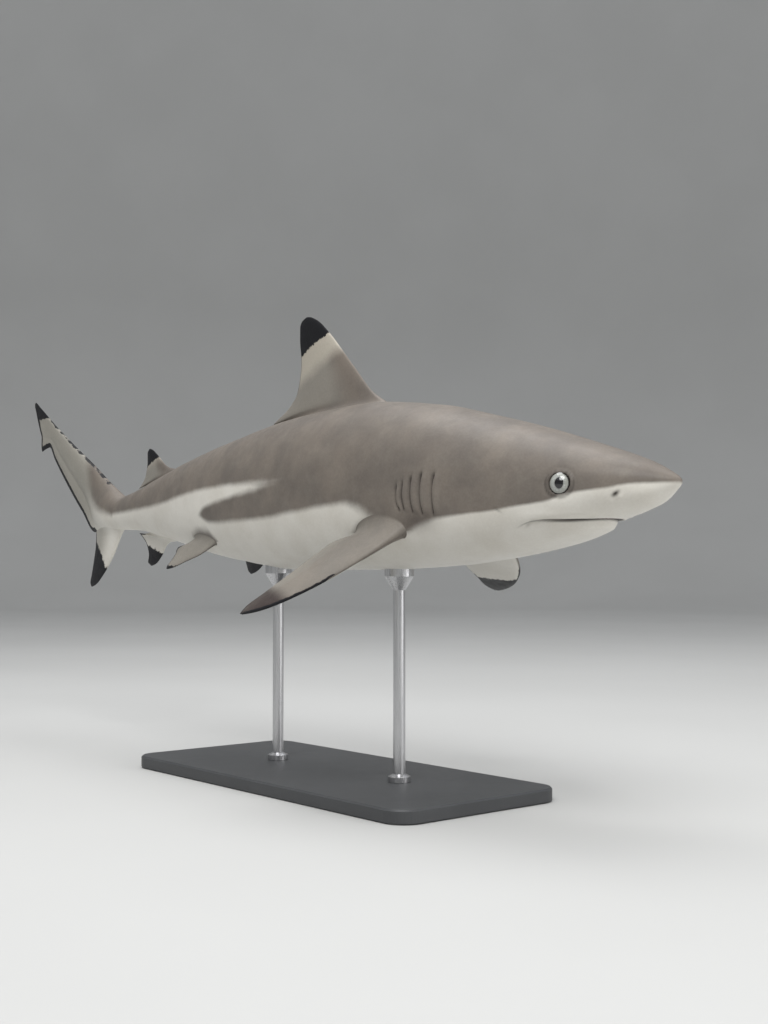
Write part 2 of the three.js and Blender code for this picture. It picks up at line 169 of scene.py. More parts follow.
# The upper tail lobe: t, a point (at, up) of its dorsal margin and one of its ventral and posterior margin
STEM_BACK, STEM_BELLY, STEM_HALF = (float(v) for v in girth(STEM_ENDS))
LOBE_PAIRS = [
    (0.00, STEM_ENDS, STEM_BACK, STEM_ENDS, -STEM_BELLY), (0.07, 76.9, 3.2, 78.2, -1.02),
    (0.17, 79.3, 4.6, 82.5, -1.0), (0.30, 83.4, 6.95, 86.2, 1.7), (0.45, 87.5, 9.2, 90.6, 5.5),
    (0.58, 91.0, 11.2, 93.7, 8.5), (0.66, 93.0, 12.35, 95.25, 10.2), (0.72, 94.6, 13.35, 96.4, 10.1),
    (0.77, 95.7, 14.05, 97.5, 9.9), (0.80, 96.25, 14.4, 97.72, 10.5), (0.83, 96.8, 14.75, 97.6, 11.4),
    (0.89, 97.75, 15.35, 98.15, 12.6), (0.94, 98.55, 15.85, 98.75, 13.8), (0.975, 99.1, 16.2, 99.3, 15.1),
    (0.992, 99.45, 16.32, 99.72, 15.85), (1.00, 99.72, 16.18, 99.72, 16.18),
]
_lobe = monotone([p[0] for p in LOBE_PAIRS], [p[1:] for p in LOBE_PAIRS])
LOBE_ROWS_TO_ROOT, LOBE_ROWS_BEYOND = (3, 42), 86  # rings before, beside and behind the lower lobe's root


def lobe_edges(t):
    """Dorsal and ventral margin points of the upper tail lobe, each (at, up), for t from 0 to 1."""
    e = _lobe(t)
    return e[..., 0:2], e[..., 2:4]


def lobe_section(t, angle):
    """at, left and up of the skin on the upper tail lobe, and how far it is from dorsal (0) to ventral margin (1)."""
    dorsal, ventral = lobe_edges(t)
    c, s = np.cos(angle), np.sin(angle)
    power = 2 / UPPER_POWER
    w = (1 - np.sign(c) * np.abs(c) ** power) / 2
    stem = STEM_HALF * np.abs(s) ** power
    fade = 1 - t
    core_middle, core_reach = 0.5 - 0.2 * smooth(t, 0, 0.35), 0.5 - 0.18 * smooth(t, 0, 0.35)
    core = (0.05 + 1.05 * fade**1.6) * np.sqrt(np.clip(1 - ((w - core_middle) / core_reach) ** 2, 0, 1))
    web = (0.1 + 0.14 * fade) * np.clip(w / 0.06, 0, 1) ** 0.5 * np.clip((1 - w) / 0.25, 0, 1) ** 0.6
    blade = (core**3 + web**3) ** (1 / 3) * smooth(1 - t, 0, 0.04)
    blend = smooth(t, 0, 0.26)
    left = np.sign(s) * (stem * (1 - blend) + blade * blend)
    at = dorsal[..., 0] * (1 - w) + ventral[..., 0] * w
    up = dorsal[..., 1] * (1 - w) + ventral[..., 1] * w
    return at, left, up, w


# ---- Fins. Each edge is (v, at, up) or, on a paired fin, (v, back, out) from its root; v runs from root to tip.
ON_SKIN = None  # an up or out that stays on the body's skin


class Fin:
    """Edges, half thicknesses and fillet in percent, rows of the grid and v of the first of them.

    A median fin has its root line and which way is out; a paired fin has its side, place and slopes."""

    def __init__(self, side=0, sign=1, first=0.07, **shape):
        self.side, self.sign, self.first = side, sign, first
        self.__dict__.update(shape)


TAIL_VENTRAL = monotone([STEM_ENDS, 78.2, 82.5], [-STEM_BELLY, -1.02, -1.0])


def back_line(at):
    return girth(at)[0]


def belly_line(at):
    return np.where(np.asarray(at) > STEM_ENDS, TAIL_VENTRAL(at), -girth(at)[1])


FIRST_DORSAL = Fin(
    leading=[(0, 29.5, ON_SKIN), (0.1, 31.15, 8.5), (0.3, 33.9, 11.15), (0.6, 37.0, 14.3), (0.82, 38.65, 15.72),
             (0.93, 39.45, 16.15), (0.975, 39.9, 16.32), (1, 40.4, 16.4)],
    trailing=[(0, 41.9, ON_SKIN), (0.06, 44.2, 7.22), (0.1, 45.75, 7.1), (0.14, 45.1, 7.45), (0.22, 43.7, 8.1),
              (0.35, 41.95, 9.6), (0.6, 41.3, 12.4), (0.82, 41.5, 14.5), (0.93, 41.48, 15.6), (0.975, 41.2, 16.1),
              (1, 40.6, 16.38)],
    half_root=0.55, half_tip=0.08, fillet=0.55, rows=52, line=back_line,
)
SECOND_DORSAL = Fin(
    leading=[(0, 62.7, ON_SKIN), (0.25, 65.2, 4.85), (0.6, 67.6, 6.4), (0.85, 68.75, 7.08), (1, 69.3, 7.22)],
    trailing=[(0, 69.3, ON_SKIN), (0.12, 70.9, 3.24), (0.2, 71.95, 3.1), (0.3, 71.1, 3.6), (0.45, 70.3, 4.4),
              (0.7, 69.85, 5.9), (0.88, 69.85, 6.75), (1, 69.42, 7.2)],
    half_root=0.35, half_tip=0.06, fillet=0.3, rows=34, line=back_line,
)
ANAL = Fin(
    leading=[(0, 62.9, ON_SKIN), (0.3, 65.35, -3.15), (0.65, 66.95, -4.45), (0.88, 68.1, -5.15), (1, 69.0, -5.35)],
    trailing=[(0, 69.1, ON_SKIN), (0.12, 70.9, -1.82), (0.2, 71.9, -1.7), (0.3, 71.1, -2.2), (0.45, 70.2, -3.0),
              (0.7, 69.75, -4.2), (0.88, 69.95, -4.9), (1, 69.3, -5.34)],
    half_root=0.35, half_tip=0.06, fillet=0.3, rows=34, line=belly_line, sign=-1,
)
LOWER_LOBE = Fin(
    leading=[(0, 75.7, ON_SKIN), (0.12, 76.4, -1.9), (0.35, 77.9, -3.65), (0.68, 80.8, -5.95), (0.9, 82.7, -7.0),
             (1, 83.6, -7.2)],
    trailing=[(0, 82.45, ON_SKIN), (0.25, 82.6, -2.5), (0.5, 83.1, -4.1), (0.8, 83.75, -5.85), (0.92, 84.1, -6.7),
              (1, 83.85, -7.18)],
    half_root=0.5, half_tip=0.06, fillet=0.4, rows=36, line=belly_line, sign=-1, first=0.1,
)
# shade is how far the painted shade over the fin's root reaches up the flank
PECTORAL = dict(
    leading=[(0, 0.55, ON_SKIN), (0.1, 1.2, 1.5), (0.35, 2.8, 4.25), (0.6, 4.9, 7.05), (0.82, 7.6, 9.2),
             (0.93, 9.3, 9.92), (1, 10.7, 10.2)],
    trailing=[(0, 6.4, ON_SKIN), (0.07, 7.7, 0.75), (0.12, 8.7, 1.0), (0.17, 9.0, 1.6), (0.3, 9.4, 2.9),
              (0.5, 10.0, 4.9), (0.75, 10.8, 7.4), (0.9, 11.35, 9.1), (1, 11.15, 10.05)],
    half_root=0.75, half_tip=0.1, fillet=0.5, rows=60, shade=1.3, at=20.7, out=5.3, up=-3.2, pitch=0.06,
)
PELVIC = dict(
    leading=[(0, 0.6, ON_SKIN), (0.3, 2.0, 0.9), (0.65, 3.9, 1.75), (0.88, 5.4, 2.4), (1, 6.4, 2.62)],
    trailing=[(0, 5.2, ON_SKIN), (0.1, 6.5, -0.45), (0.2, 7.45, -0.2), (0.3, 7.3, 0.25), (0.4, 7.0, 0.6),
              (0.6, 6.9, 1.35), (0.85, 6.9, 2.2), (1, 6.6, 2.6)],
    half_root=0.4, half_tip=0.06, fillet=0.3, rows=32, shade=1.15, at=49.8, out=3.6, up=-4.1, pitch=0.0,
)
PAIRED = [
    Fin(side=1, droop=25.5, sweep=-2.5, **PECTORAL),
    Fin(side=-1, droop=37.3, sweep=0.5, **PECTORAL),
    Fin(side=1, droop=73, sweep=0, **PELVIC),
    Fin(side=-1, droop=50, sweep=0, **PELVIC),
]


def paired_place(fin, x, y, lift=0.0):
    """at, left and up of a point of a paired fin: x back and y out from the root, lift off its middle surface."""
    sweep, droop = math.radians(fin.sweep), math.radians(fin.droop)
    back = x * math.cos(sweep) + y * math.sin(sweep)
    out = y * math.cos(sweep) - x * math.sin(sweep)
    return (
        fin.at + back,
        fin.side * (fin.out + out * math.cos(droop) + lift * math.sin(droop)),
        fin.up - out * math.sin(droop) + lift * math.cos(droop) - fin.pitch * back,
    )


def skin_reach(fin, x):
    """How far out a paired fin's middle surface leaves the body, by bisection."""
    nearest, furthest = np.full_like(x, -2.5), np.full_like(x, 3.0)
    for _ in range(40):
        y = (nearest + furthest) / 2
        wide, high, power = in_section(*paired_place(fin, x, y))
        inside = wide**power + np.abs(high) ** power < 1
        nearest, furthest = np.where(inside, y, nearest), np.where(inside, furthest, y)
    return nearest


# ---- Stations along the body, with one at each end of each fin's root
def root_span(fin):
    """Stations between which a fin's root opens the skin."""
    if fin.side == 0:
        return fin.leading[0][1], fin.trailing[0][1]
    x = np.array([fin.leading[0][1], fin.trailing[0][1]])
    at = paired_place(fin, x, skin_reach(fin, x))[0]
    return float(at[0]), float(at[1])


SPACING = [  # up to this station, spacing of the rings
    (6.2, 0.085), (8.6, 0.052), (14.6, 0.085), (17.4, 0.12), (22.4, 0.07), (28.0, 0.12), (50.0, 0.21), (56.0, 0.13),
    (62.5, 0.21), (72.5, 0.13), (STEM_ENDS, 0.13),
]
NOSE_RINGS, NOSE_ENDS = 14, 1.2


def stations():
    spans = [root_span(f) for f in [FIRST_DORSAL, SECOND_DORSAL, ANAL] + PAIRED]
    marks = sorted({NOSE_ENDS, *(end for end, _ in SPACING), *(s for span in spans for s in span)})
    rows = [NOSE_ENDS * (np.arange(NOSE_RINGS) / NOSE_RINGS) ** 2]
    for a, b in zip(marks, marks[1:]):
        step = next(gap for end, gap in SPACING if (a + b) / 2 < end)
        rows.append(np.linspace(a, b, max(1, round((b - a) / step)), endpoint=False))
    return np.append(np.concatenate(rows), STEM_ENDS)


BODY_AT = stations()
N_BODY = len(BODY_AT)


def lobe_rows():
    """t of the rings on the upper tail lobe, with one at each end of the lower lobe's root."""
    t = np.linspace(0, 1, 2001)
    ventral_at = lobe_edges(t)[1][:, 0]
    first, last = (float(np.interp(s, ventral_at[:400], t[:400])) for s in root_span(LOWER_LOBE))
    before, beside = LOBE_ROWS_TO_ROOT
    rows = [np.linspace(0, first, before, endpoint=False), np.linspace(first, last, beside, endpoint=False)]
    rows.append(last + (1 - last) * np.linspace(0, 1, LOBE_ROWS_BEYOND))
    return np.concatenate(rows)[1:]


LOBE_T = lobe_rows()
ROWS = N_BODY + len(LOBE_T)
ROW_AT = np.concatenate([BODY_AT, lobe_edges(LOBE_T)[1][:, 0]])  # on the lobe, the station of the ventral margin


def lens(fin, at):
    """Half width of the opening that a fin's root makes in the skin, and how far along it each station is."""
    a, b = root_span(fin)
    c = np.clip((at - a) / (b - a), 0, 1)
    return (fin.half_root + fin.fillet) * np.sqrt(4 * c * (1 - c)), c


def rows_of(fin):
    a, b = root_span(fin)
    return np.arange(np.argmin(np.abs(ROW_AT - a)), np.argmin(np.abs(ROW_AT - b)) + 1)


# ---- Surface of the body and upper tail lobe, and its relief
def surface(row, angle):
    """at, left, up and the lobe's w of the skin, for ring numbers and angles of the same shape."""
    on_body = row < N_BODY
    at = BODY_AT[np.minimum(row, N_BODY - 1)]
    left, up = section(at, angle)
    t = LOBE_T[np.clip(row - N_BODY, 0, len(LOBE_T) - 1)]
    lobe_at, lobe_left, lobe_up, w = lobe_section(t, angle)
    return (
        np.where(on_body, at, lobe_at), np.where(on_body, left, lobe_left), np.where(on_body, up, lobe_up),
        np.where(on_body, 0, w), np.where(on_body, 0, t),
    )


def section_normal(at, angle):
    """Outward unit normal of the body's smooth surface."""
    e = 1e-3
    ahead, behind = np.maximum(at - e, 1e-4), at + e
    along = body_point(behind, *section(behind, angle)) - body_point(ahead, *section(ahead, angle))
    around = body_point(at, *section(at, angle + e)) - body_point(at, *section(at, angle - e))
    n = np.cross(around, along)
    return n / np.maximum(np.linalg.norm(n, axis=-1, keepdims=True), 1e-12)


EYE_AT, EYE_UP, EYE_OPENING, EYE_RADIUS = 7.42, -0.17, 10.2, 14.0  # opening and radius in mm
EYE_SINK = 9.6  # mm from the skin's own level in to the eye's centre


def eye_frame(side):
    """A point of the skin over the eye, and the directions out, back and up there."""
    a = side * eye_angle()
    centre = body_point(EYE_AT, *section(EYE_AT, a))
    out = section_normal(np.array(EYE_AT), np.array(a))
    up = np.array([0.0, 0.0, 1.0])
    up -= out * (up @ out)
    up /= np.linalg.norm(up)
    back = np.cross(up, out) * side
    return centre, out, back, up


def eye_angle():
    a = np.linspace(0.5, 2.5, 4001)
    return float(a[np.argmin(np.abs(section(EYE_AT, a)[1] - EYE_UP))])


GILLS = [  # at and up of the top, at of the middle, at and up of the bottom of each slit
    (17.9, 0.85, 18.2, 18.15, -2.35), (19.15, 0.95, 19.4, 19.15, -2.3), (20.2, 0.75, 20.35, 20.1, -2.15),
    (21.0, 0.5, 21.2, 20.95, -1.95), (21.75, 0.1, 21.85, 21.45, -1.95),
]
GILL_DEPTH, GILL_LIP, GILL_SLOPE = 3.8, 0.9, 3.0  # mm deep, and how fast it falls in front of and behind the slit
GILL_FLAP, GILL_FLAP_WIDTH = 2.4, 4.5  # mm
GILL_DARK = 0.5  # mm behind the slit where the painted shade in the crease is darkest
MOUTH_CORNER, MOUTH_LENGTH, MOUTH_HALF, MOUTH_RADIUS = 10.9, 5.15, 4.1, 4.6  # the bow, and its mean radius
MOUTH_BELOW = 1.7, 2.3  # the mouth's relief begins and is full this far below the axis
MOUTH_ENDS = MOUTH_CORNER - 0.5, MOUTH_CORNER + 0.7
JAW_FRONT = 6.3, 8.8  # the front of the jaw passes into its side here
GROOVE_NARROWS = 6.5, 10.6  # the groove thins to a line at the corner
GROOVE_DEPTH, GROOVE_WIDTH = (2.0, 2.0), (1.1, 0.6)  # mm at the corner, and how much more at the front
LINE_BACK, LINE_CORE, LINE_EDGE = 1.4, (0.4, 1.3), (1.3, 2.2)  # the line of painted shade in the mouth's groove, mm, the same way
LIP_SWELL, JAW_SWELL = 0.9, 0.5  # mm
JAW_STEP, CHIN_STEP, JAW_INSET = 1.2, 3.4, 0.8  # mm that the lower jaw lies in behind the mouth
SNOUT_FLAT, MOUTH_LIFT, TIP_SWELL = 2.4, 1.7, 2.2  # mm off ahead of the mouth, and on under the snout's tip
MOUTH_FRONT_LIFT_AT, TIP_SWELL_AT = (5.3, 0.8), (2.1, 1.3)  # centre and width
BLUSH_ENDS = 5.8, 6.1
FURROW_AT, FURROW_SLOPE, FURROW_SIZE = (10.3, -3.0), (0.83, -0.55), (7.0, 1.1)  # mm long and wide
FOLD_AT, FOLD_SLOPE, FOLD_SIZE = (12.4, -2.0), (0.86, 0.51), (4.5, 1.2)
NOSTRIL_AT, NOSTRIL_SLOPE, NOSTRIL_SIZE = (3.8, -0.95), (0.75, -0.66), (4.0, 1.7)
NOSTRIL_DEPTH, NOSTRIL_FLAP, NOSTRIL_FLAP_ACROSS = 3.0, 1.0, 3.2
PIT_ABOVE, PIT_BELOW = (2.0, 74.75, 0.28, 0.55), (1.4, 74.9, 0.25, 0.4)  # mm deep, at, length, width as an angle
VENT_AT, VENT_LENGTH, VENT_HALF, VENT_DEPTH = 53.6, 0.55, 0.11, 1.8
SWELL = 0.22  # mm
SOCKET_DEPTH, SOCKET_WALL = 11.0, 2.2  # mm
SOCKET_ROUND = 1.1, 0.96  # the opening is this much longer and lower than a circle
LID, LID_TROUGH, LOW_LID = (0.9, 1.6, 1.6), (0.55, 5.2, 2.4), (0.7, 3.2, 1.2)  # mm high, out from the opening, wide


def turned(at, up, centre, slope):
    """mm along and across a line through a point (at, up), given by its direction cosines."""
    x, y = (at - centre[0]) / MM, (up - centre[1]) / MM
    return x * slope[0] + y * slope[1], x * slope[1] - y * slope[0]


def slanted(at, up, centre, slope, size):
    """A long bell along a slanted line, mm."""
    along, across = turned(at, up, centre, slope)
    return hill(across, 0, size[1]) * hill(along, 0, size[0])


def gills(at, left, up):
    """Lift in mm and painted crease shade of the slits: the skin ahead of each ends as a low flap."""
    lift, crease_shade = np.zeros_like(at), np.zeros_like(at)
    on_side = np.abs(left) > 2
    for top_at, top_up, mid_at, low_at, low_up in GILLS:
        v = (up - (top_up + low_up) / 2) / ((top_up - low_up) / 2)
        path = mid_at * (1 - v * v) + (top_at * (1 + v) + low_at * (1 - v)) / 2 * v * v
        d = (at - path) / MM
        ends = np.sqrt(np.clip(1 - v * v, 0, 1)) * on_side
        slit = hill(d, 0, np.where(d < 0, GILL_LIP, GILL_SLOPE)) * ends
        lift += GILL_FLAP * hill(d, -GILL_FLAP_WIDTH, GILL_FLAP_WIDTH) * ends - GILL_DEPTH * slit
        wide = np.where(d < GILL_DARK, 1.1, 1.5 + 1.2 * smooth(v, 0.45, 0.95))
        crease_shade = np.maximum(crease_shade, hill(d, GILL_DARK, wide) * smooth(ends, 0.1, 0.5))
    return lift, crease_shade


def mouth(at, left, up):
    """Lift, painted shade in the groove and blush of the mouth: a bow across the underside, with the lower jaw set in
    behind it.
    """
    ring = np.sqrt(((at - MOUTH_CORNER) / MOUTH_LENGTH) ** 2 + (left / MOUTH_HALF) ** 2)
    d = (ring - 1) * MOUTH_RADIUS / MM  # mm ahead of the mouth
    under = smooth(-up, *MOUTH_BELOW) * (1 - smooth(at, *MOUTH_ENDS))
    front = 1 - smooth(at, *JAW_FRONT)
    deeper = 1 - smooth(at, *GROOVE_NARROWS)
    groove_depth, groove_width, core, edge = (
        corner + more * deeper for corner, more in (GROOVE_DEPTH, GROOVE_WIDTH, LINE_CORE, LINE_EDGE)
    )
    chin = smooth(-d, 0, 1.5) * (1 - smooth(-d, 2.5, 11)) * (d < 0)
    swell = LIP_SWELL * hill(d, 4.0, 3.0) + JAW_SWELL * hill(d, -4.5, 2.0)
    lift = -groove_depth * hill(d, -0.5 * deeper, groove_width) + swell * (1 - front)
    lift -= (JAW_STEP + CHIN_STEP * front) * chin + JAW_INSET * np.where(d < 0, 1 - smooth(-d, 6, 40), 0)
    lift -= SNOUT_FLAT * front * hill(d, 3, 5) * smooth(-up, 2.2, 2.6)
    blush = under * hill(d, -1.2, 2.4) * (1 - smooth(at, *BLUSH_ENDS))
    # painted shade along the mouth's groove
    line = 1 - smooth(np.abs(d + LINE_BACK * deeper), core, edge)
    return under * lift, under * (0.5 + 0.5 * deeper) * line * (1 - 0.6 * blush), blush


def nostrils(at, left, up):
    """A slanting pit with a small flap; the pit is painted with shade."""
    along, across = turned(at, up, NOSTRIL_AT, NOSTRIL_SLOPE)
    on_side = np.abs(left) > 1.2
    length, width = NOSTRIL_SIZE
    pit = hill(across, 0, width) * hill(along, 0, length) * on_side
    flap = hill(across, NOSTRIL_FLAP_ACROSS, width) * hill(along, -1, length) * on_side
    return NOSTRIL_FLAP * flap - NOSTRIL_DEPTH * pit, pit


def folds(at, left, up):
    """The labial furrow at the corner of the mouth, and a short fold behind the jaw, both painted with shade."""
    furrow = slanted(at, up, FURROW_AT, FURROW_SLOPE, FURROW_SIZE) * smooth(np.abs(left), 3.2, 3.6) * (up < 0)
    fold = slanted(at, up, FOLD_AT, FOLD_SLOPE, FOLD_SIZE) * (np.abs(left) > 3)
    return -0.8 * furrow - 0.7 * fold, np.maximum(0.25 * furrow, 0.5 * fold)


def vent(at, left, up):
    slit = hill(left, 0, VENT_HALF) * hill(at, VENT_AT, VENT_LENGTH) * (up < 0)
    # the vent's slit is painted with shade as well as sunk
    return -VENT_DEPTH * slit, 0.6 * slit


def form(at, angle):
    """Lift in mm of the snout's underside, the precaudal pits and low swells of the muscle under the skin."""
    below = -np.cos(angle)
    lift = TIP_SWELL * hill(at, *TIP_SWELL_AT) * smooth(below, 0.1, 0.9)
    lift -= MOUTH_LIFT * hill(at, *MOUTH_FRONT_LIFT_AT) * smooth(below, 0.3, 0.9)
    for (depth, place, length, width), middle in ((PIT_ABOVE, 0), (PIT_BELOW, math.pi)):
        lift -= depth * hill(at, place, length) * hill(np.abs(angle), middle, width)
    wave = np.sin(at * 1.35 + 3 * angle) * np.sin(at * 0.47 - 2 * angle + 1.1)
    return lift + SWELL * wave * smooth(at, 12, 24) * (1 - smooth(at, 70, 75))


def eye_sockets(angle, point):
    """Move in metres and painted shade: a low lid round a clean opening, with a fold at its lower front."""
    move, crease_shade = np.zeros(angle.shape + (3,)), np.zeros_like(angle)
    for side in (1, -1):
        centre, axis, back, high = eye_frame(side)
        offset = (point - centre) * 1000
        x, y, depth = offset @ back, offset @ high, offset @ axis
        near = (np.abs(depth) < 16) & (np.hypot(x, y) < 45) & (np.sign(angle) == side)
        beyond = np.hypot(x / SOCKET_ROUND[0], y / SOCKET_ROUND[1]) - EYE_OPENING
        hole = smooth(0.5 - beyond, 0, SOCKET_WALL) * near
        lids = [height * hill(beyond, out, width) for height, out, width in (LID, LID_TROUGH, LOW_LID)]
        lid = lids[0] - lids[1] + lids[2] * smooth(-y, 1, 8)
        level = -depth * smooth(3 - beyond, 0, 4) * near  # flattens the skin round the opening
        move += axis * ((level - SOCKET_DEPTH * hole + lid * near * (1 - hole)) / 1000)[..., None]
        # painted shade: darker in the hole, in a ring round the opening and along the lid's fold
        ring = 0.3 * smooth(4.5 - beyond, 0, 1.5)
        fold = 0.9 * hole + 0.5 * hill(beyond, 3.6, 0.9) * (beyond > 1)
        crease_shade = np.maximum(crease_shade, near * np.maximum(ring, fold))
    return move, crease_shade


def relief(at, left, up, angle, point):
    """Lift outwards in mm, a move in metres for the eye sockets, how much painted shade a crease gets (0 to 1), and the
    blush.
    """
    lift, crease_shade, blush = mouth(at, left, up)
    lift = lift + form(at, angle)
    for feature in (gills, nostrils, folds, vent):
        more_lift, more_crease_shade = feature(at, left, up)
        lift, crease_shade = lift + more_lift, np.maximum(crease_shade, more_crease_shade)
    move, socket = eye_sockets(angle, point)
    return lift, move, np.clip(np.maximum(crease_shade, socket), 0, 1), blush


# ---- Markings, as smooth distances in percent that the material cuts with a ragged edge
EDGE_LOW = monotone(  # the dark back ends here on the head, then the dark flank wedge's lower edge
    [0, 2.7, 4.3, 6.1, 7.5, 8.3, 10.9, 12.7, 14.8, 17.6, 19.5, 21.3, 23.0, 24.6, 26.2, 28.0, 34.6, 40.6,
     48.5, 50.5, 52.2, 53.5],
    [-0.1, -0.2, -0.5, -0.75, -1.05, -1.35, -1.72, -2.0, -2.2, -2.5, -2.95, -3.5, -3.5, -2.7, -1.7, -1.2, -1.57, -1.95,
     -2.0, -1.8, -1.15, -0.6],
)
EDGE_WEDGE_TOP = monotone(
    [35, 38, 40.2, 44.7, 49.3, 51.1, 52.3, 53.5], [1.25, 0.9, 0.62, 0.28, -0.2, -0.5, -1.1, -2.2]
)
EDGE_BAND_TOP = monotone([35, 38, 40.3, 47.8, 54.4, 63.3, 71.3, 76], [1.3, 1.27, 1.26, 1.33, 1.14, 0.6, 0.55, 0.6])
BAND_STARTS, BAND_FULL, BAND_FAINT = 35.0, 47.0, 0.3
CORNER = 5.0  # how tightly the wedge's tip is rounded
HEAD_CRISP, BODY_CRISP, ROOT_SOFT = 1.7, 0.75, 0.45  # how sharp the edge of the pale underside is


def belly_distance(at, up):
    """Positive on the pale belly and the pale flank band, negative on the back and the dark flank wedge."""
    above_low = up - EDGE_LOW(at)
    under_top = np.where(at < BAND_STARTS, FAR, EDGE_WEDGE_TOP(at) - up)
    low, high = np.minimum(above_low, under_top), np.maximum(above_low, under_top)
    wedge = low - np.log1p(np.exp(-CORNER * np.minimum(high - low, 50))) / CORNER
    pale = -np.maximum(wedge, up - EDGE_BAND_TOP(at))
    fade = np.where(under_top < above_low, smooth(at, BAND_STARTS, BAND_FULL), 1)
    pale = pale * (0.4 + 0.6 * fade) - BAND_FAINT * (1 - fade) ** 2
    crisp = HEAD_CRISP + (BODY_CRISP - HEAD_CRISP) * smooth(at, 14, 20) - ROOT_SOFT * hill(at, 25, 3.0)
    return pale * crisp


def edge_distance(at, up, curve):
    """Distance of points of a flat blade from one of its edges, given as points along it."""
    points = np.stack([at.ravel(), up.ravel()], -1)
    best = np.full(len(points), FAR)
    for p, q in zip(curve, curve[1:]):
        step = q - p
        t = np.clip(((points - p) @ step) / max(step @ step, 1e-12), 0, 1)
        best = np.minimum(best, np.hypot(*(points - p - t[:, None] * step).T))
    return best.reshape(at.shape)


RIM_SCALE = 3.0  # a rim's edge is less ragged than a fin tip's
NO_BLACK = -3.0
SHADE_SOFT = 0.42  # how softly the painted shade on the flank over a paired fin's root ends
LOBE_TIP = (99.6, 16.1)
TIP_BLACK, REAR_RIM, REAR_RIM_MORE = 2.1, 0.55, 0.25  # the upper lobe's black tip and rim
DASH_WIDTH, DASH_WAVES, DASHES = 0.035, (0.05, 0.04), 66.0  # mean width, how it varies, radians along the lobe
DASH_WANDER, DASH_WANDERS, DASH_SECOND = 1.7, 31.0, 1.9
LOBE_TOP = lobe_edges(np.linspace(0, 1, 160))[0]
LOBE_REAR = lobe_edges(np.linspace(0.165, 1, 200))[1]


def rim(width, distance, where):
    """A thin black edge, only where the last value is 1."""
    return (width - distance) * RIM_SCALE + NO_BLACK * (1 - where)


def lobe_marks(at, up, t, w):
    """Markings of the upper tail lobe: black tip and rear rim, and irregular dark dashes on its dorsal edge."""
    from_tip = np.hypot(at - LOBE_TIP[0], up - LOBE_TIP[1])
    rear = rim(REAR_RIM + REAR_RIM_MORE * (1 - smooth(from_tip, 2, 4)), edge_distance(at, up, LOBE_REAR), 1)
    wander = DASH_WANDER * np.sin(DASH_WANDERS * t)
    waves = DASH_WAVES[0] * np.sin(DASHES * t + wander) + DASH_WAVES[1] * np.sin(DASH_SECOND * DASHES * t)
    dashes = (DASH_WIDTH + waves) * (0.4 + 0.6 * smooth(t, 0.3, 0.7)) + 1.5 * (1 - smooth(from_tip, 2.0, 5.0))
    top = (dashes - edge_distance(at, up, LOBE_TOP)) * RIM_SCALE * smooth(t, 0.12, 0.2) - 1.0 * (t < 0.14)
    return dict(
        belly=(w - 0.56 + 0.2 * smooth(t, 0.05, 0.35)) * 2.0,
        black=np.maximum(np.maximum(rear, (TIP_BLACK - from_tip) * RIM_SCALE), top),
        tone=0.95 * smooth(t, 0.04, 0.3) * smooth(w + smooth(t, 0.12, 0.5), 0.35, 0.7),
        fin=smooth(t, 0.1, 0.4) * smooth(w, 0.4, 0.7),
        ray=t,
    )


def root_shade(fin, above):
    """The pale belly's distance over a paired fin's root, for heights in percent above the root line: painted shade,
    the flank made dark over the root.
    """
    first, last = root_span(fin)
    c = ((ROW_AT[:N_BODY] - first) / (last - first))[:, None]
    reach = fin.shade * smooth(c, -0.2, 0.2) * (1 - smooth(c, 0.5, 1.35))
    beside = 1 - smooth(c, -0.25, -0.1) * (1 - smooth(c, 0.95, 1.6))
    return (above - reach) * SHADE_SOFT + 1.2 * beside


# ---- Patches: grids of points with their markings, joined into one mesh
# the crease mark is painted shade in the slits, grooves, pits, folds and eye sockets
MARKS = ("belly", "black", "band", "tone", "dusk", "crease_shade", "blush", "fin", "ray")
SIDE_COLUMNS, BELLY_COLUMNS = 74, 56
EYE_CLOSER, EYE_REACH = 1.3, 0.11  # columns lie this much closer over the eye, and this share of the strip
patches = []


def add_patch(points, uv_box, rows_at=None, **marks):
    """uv_box is left, bottom, width, height in the bake map; rows_at spreads the rows along its width."""
    r, c = points.shape[:2]
    u = np.linspace(0, 1, r) if rows_at is None else rows_at
    v = np.linspace(0, 1, c)
    uv = np.empty((r, c, 2))
    uv[..., 0] = uv_box[0] + uv_box[2] * u[:, None]
    uv[..., 1] = uv_box[1] + uv_box[3] * v[None, :]
    spread = {m: np.broadcast_to(marks.get(m, 0.0), (r, c)) for m in MARKS}
    patches.append({"points": points, "uv": uv, **spread})


def root_line(side):
    """Angle of the line round the body along which this side's paired fins spring, at each ring."""
    at, angle = [], []
    for fin in PAIRED:
        if fin.side != side:
            continue
        x = np.linspace(fin.leading[0][1], fin.trailing[0][1], 80)
        s, left, up = paired_place(fin, x, skin_reach(fin, x))
        at.append(s)
        angle.append(section_angle(s, left, up))
    return np.interp(ROW_AT, np.concatenate(at), np.concatenate(angle))


def opening(fin):
    first, last = root_span(fin)
    return lens(fin, ROW_AT)[0] * ((ROW_AT >= first - 1e-9) & (ROW_AT <= last + 1e-9))


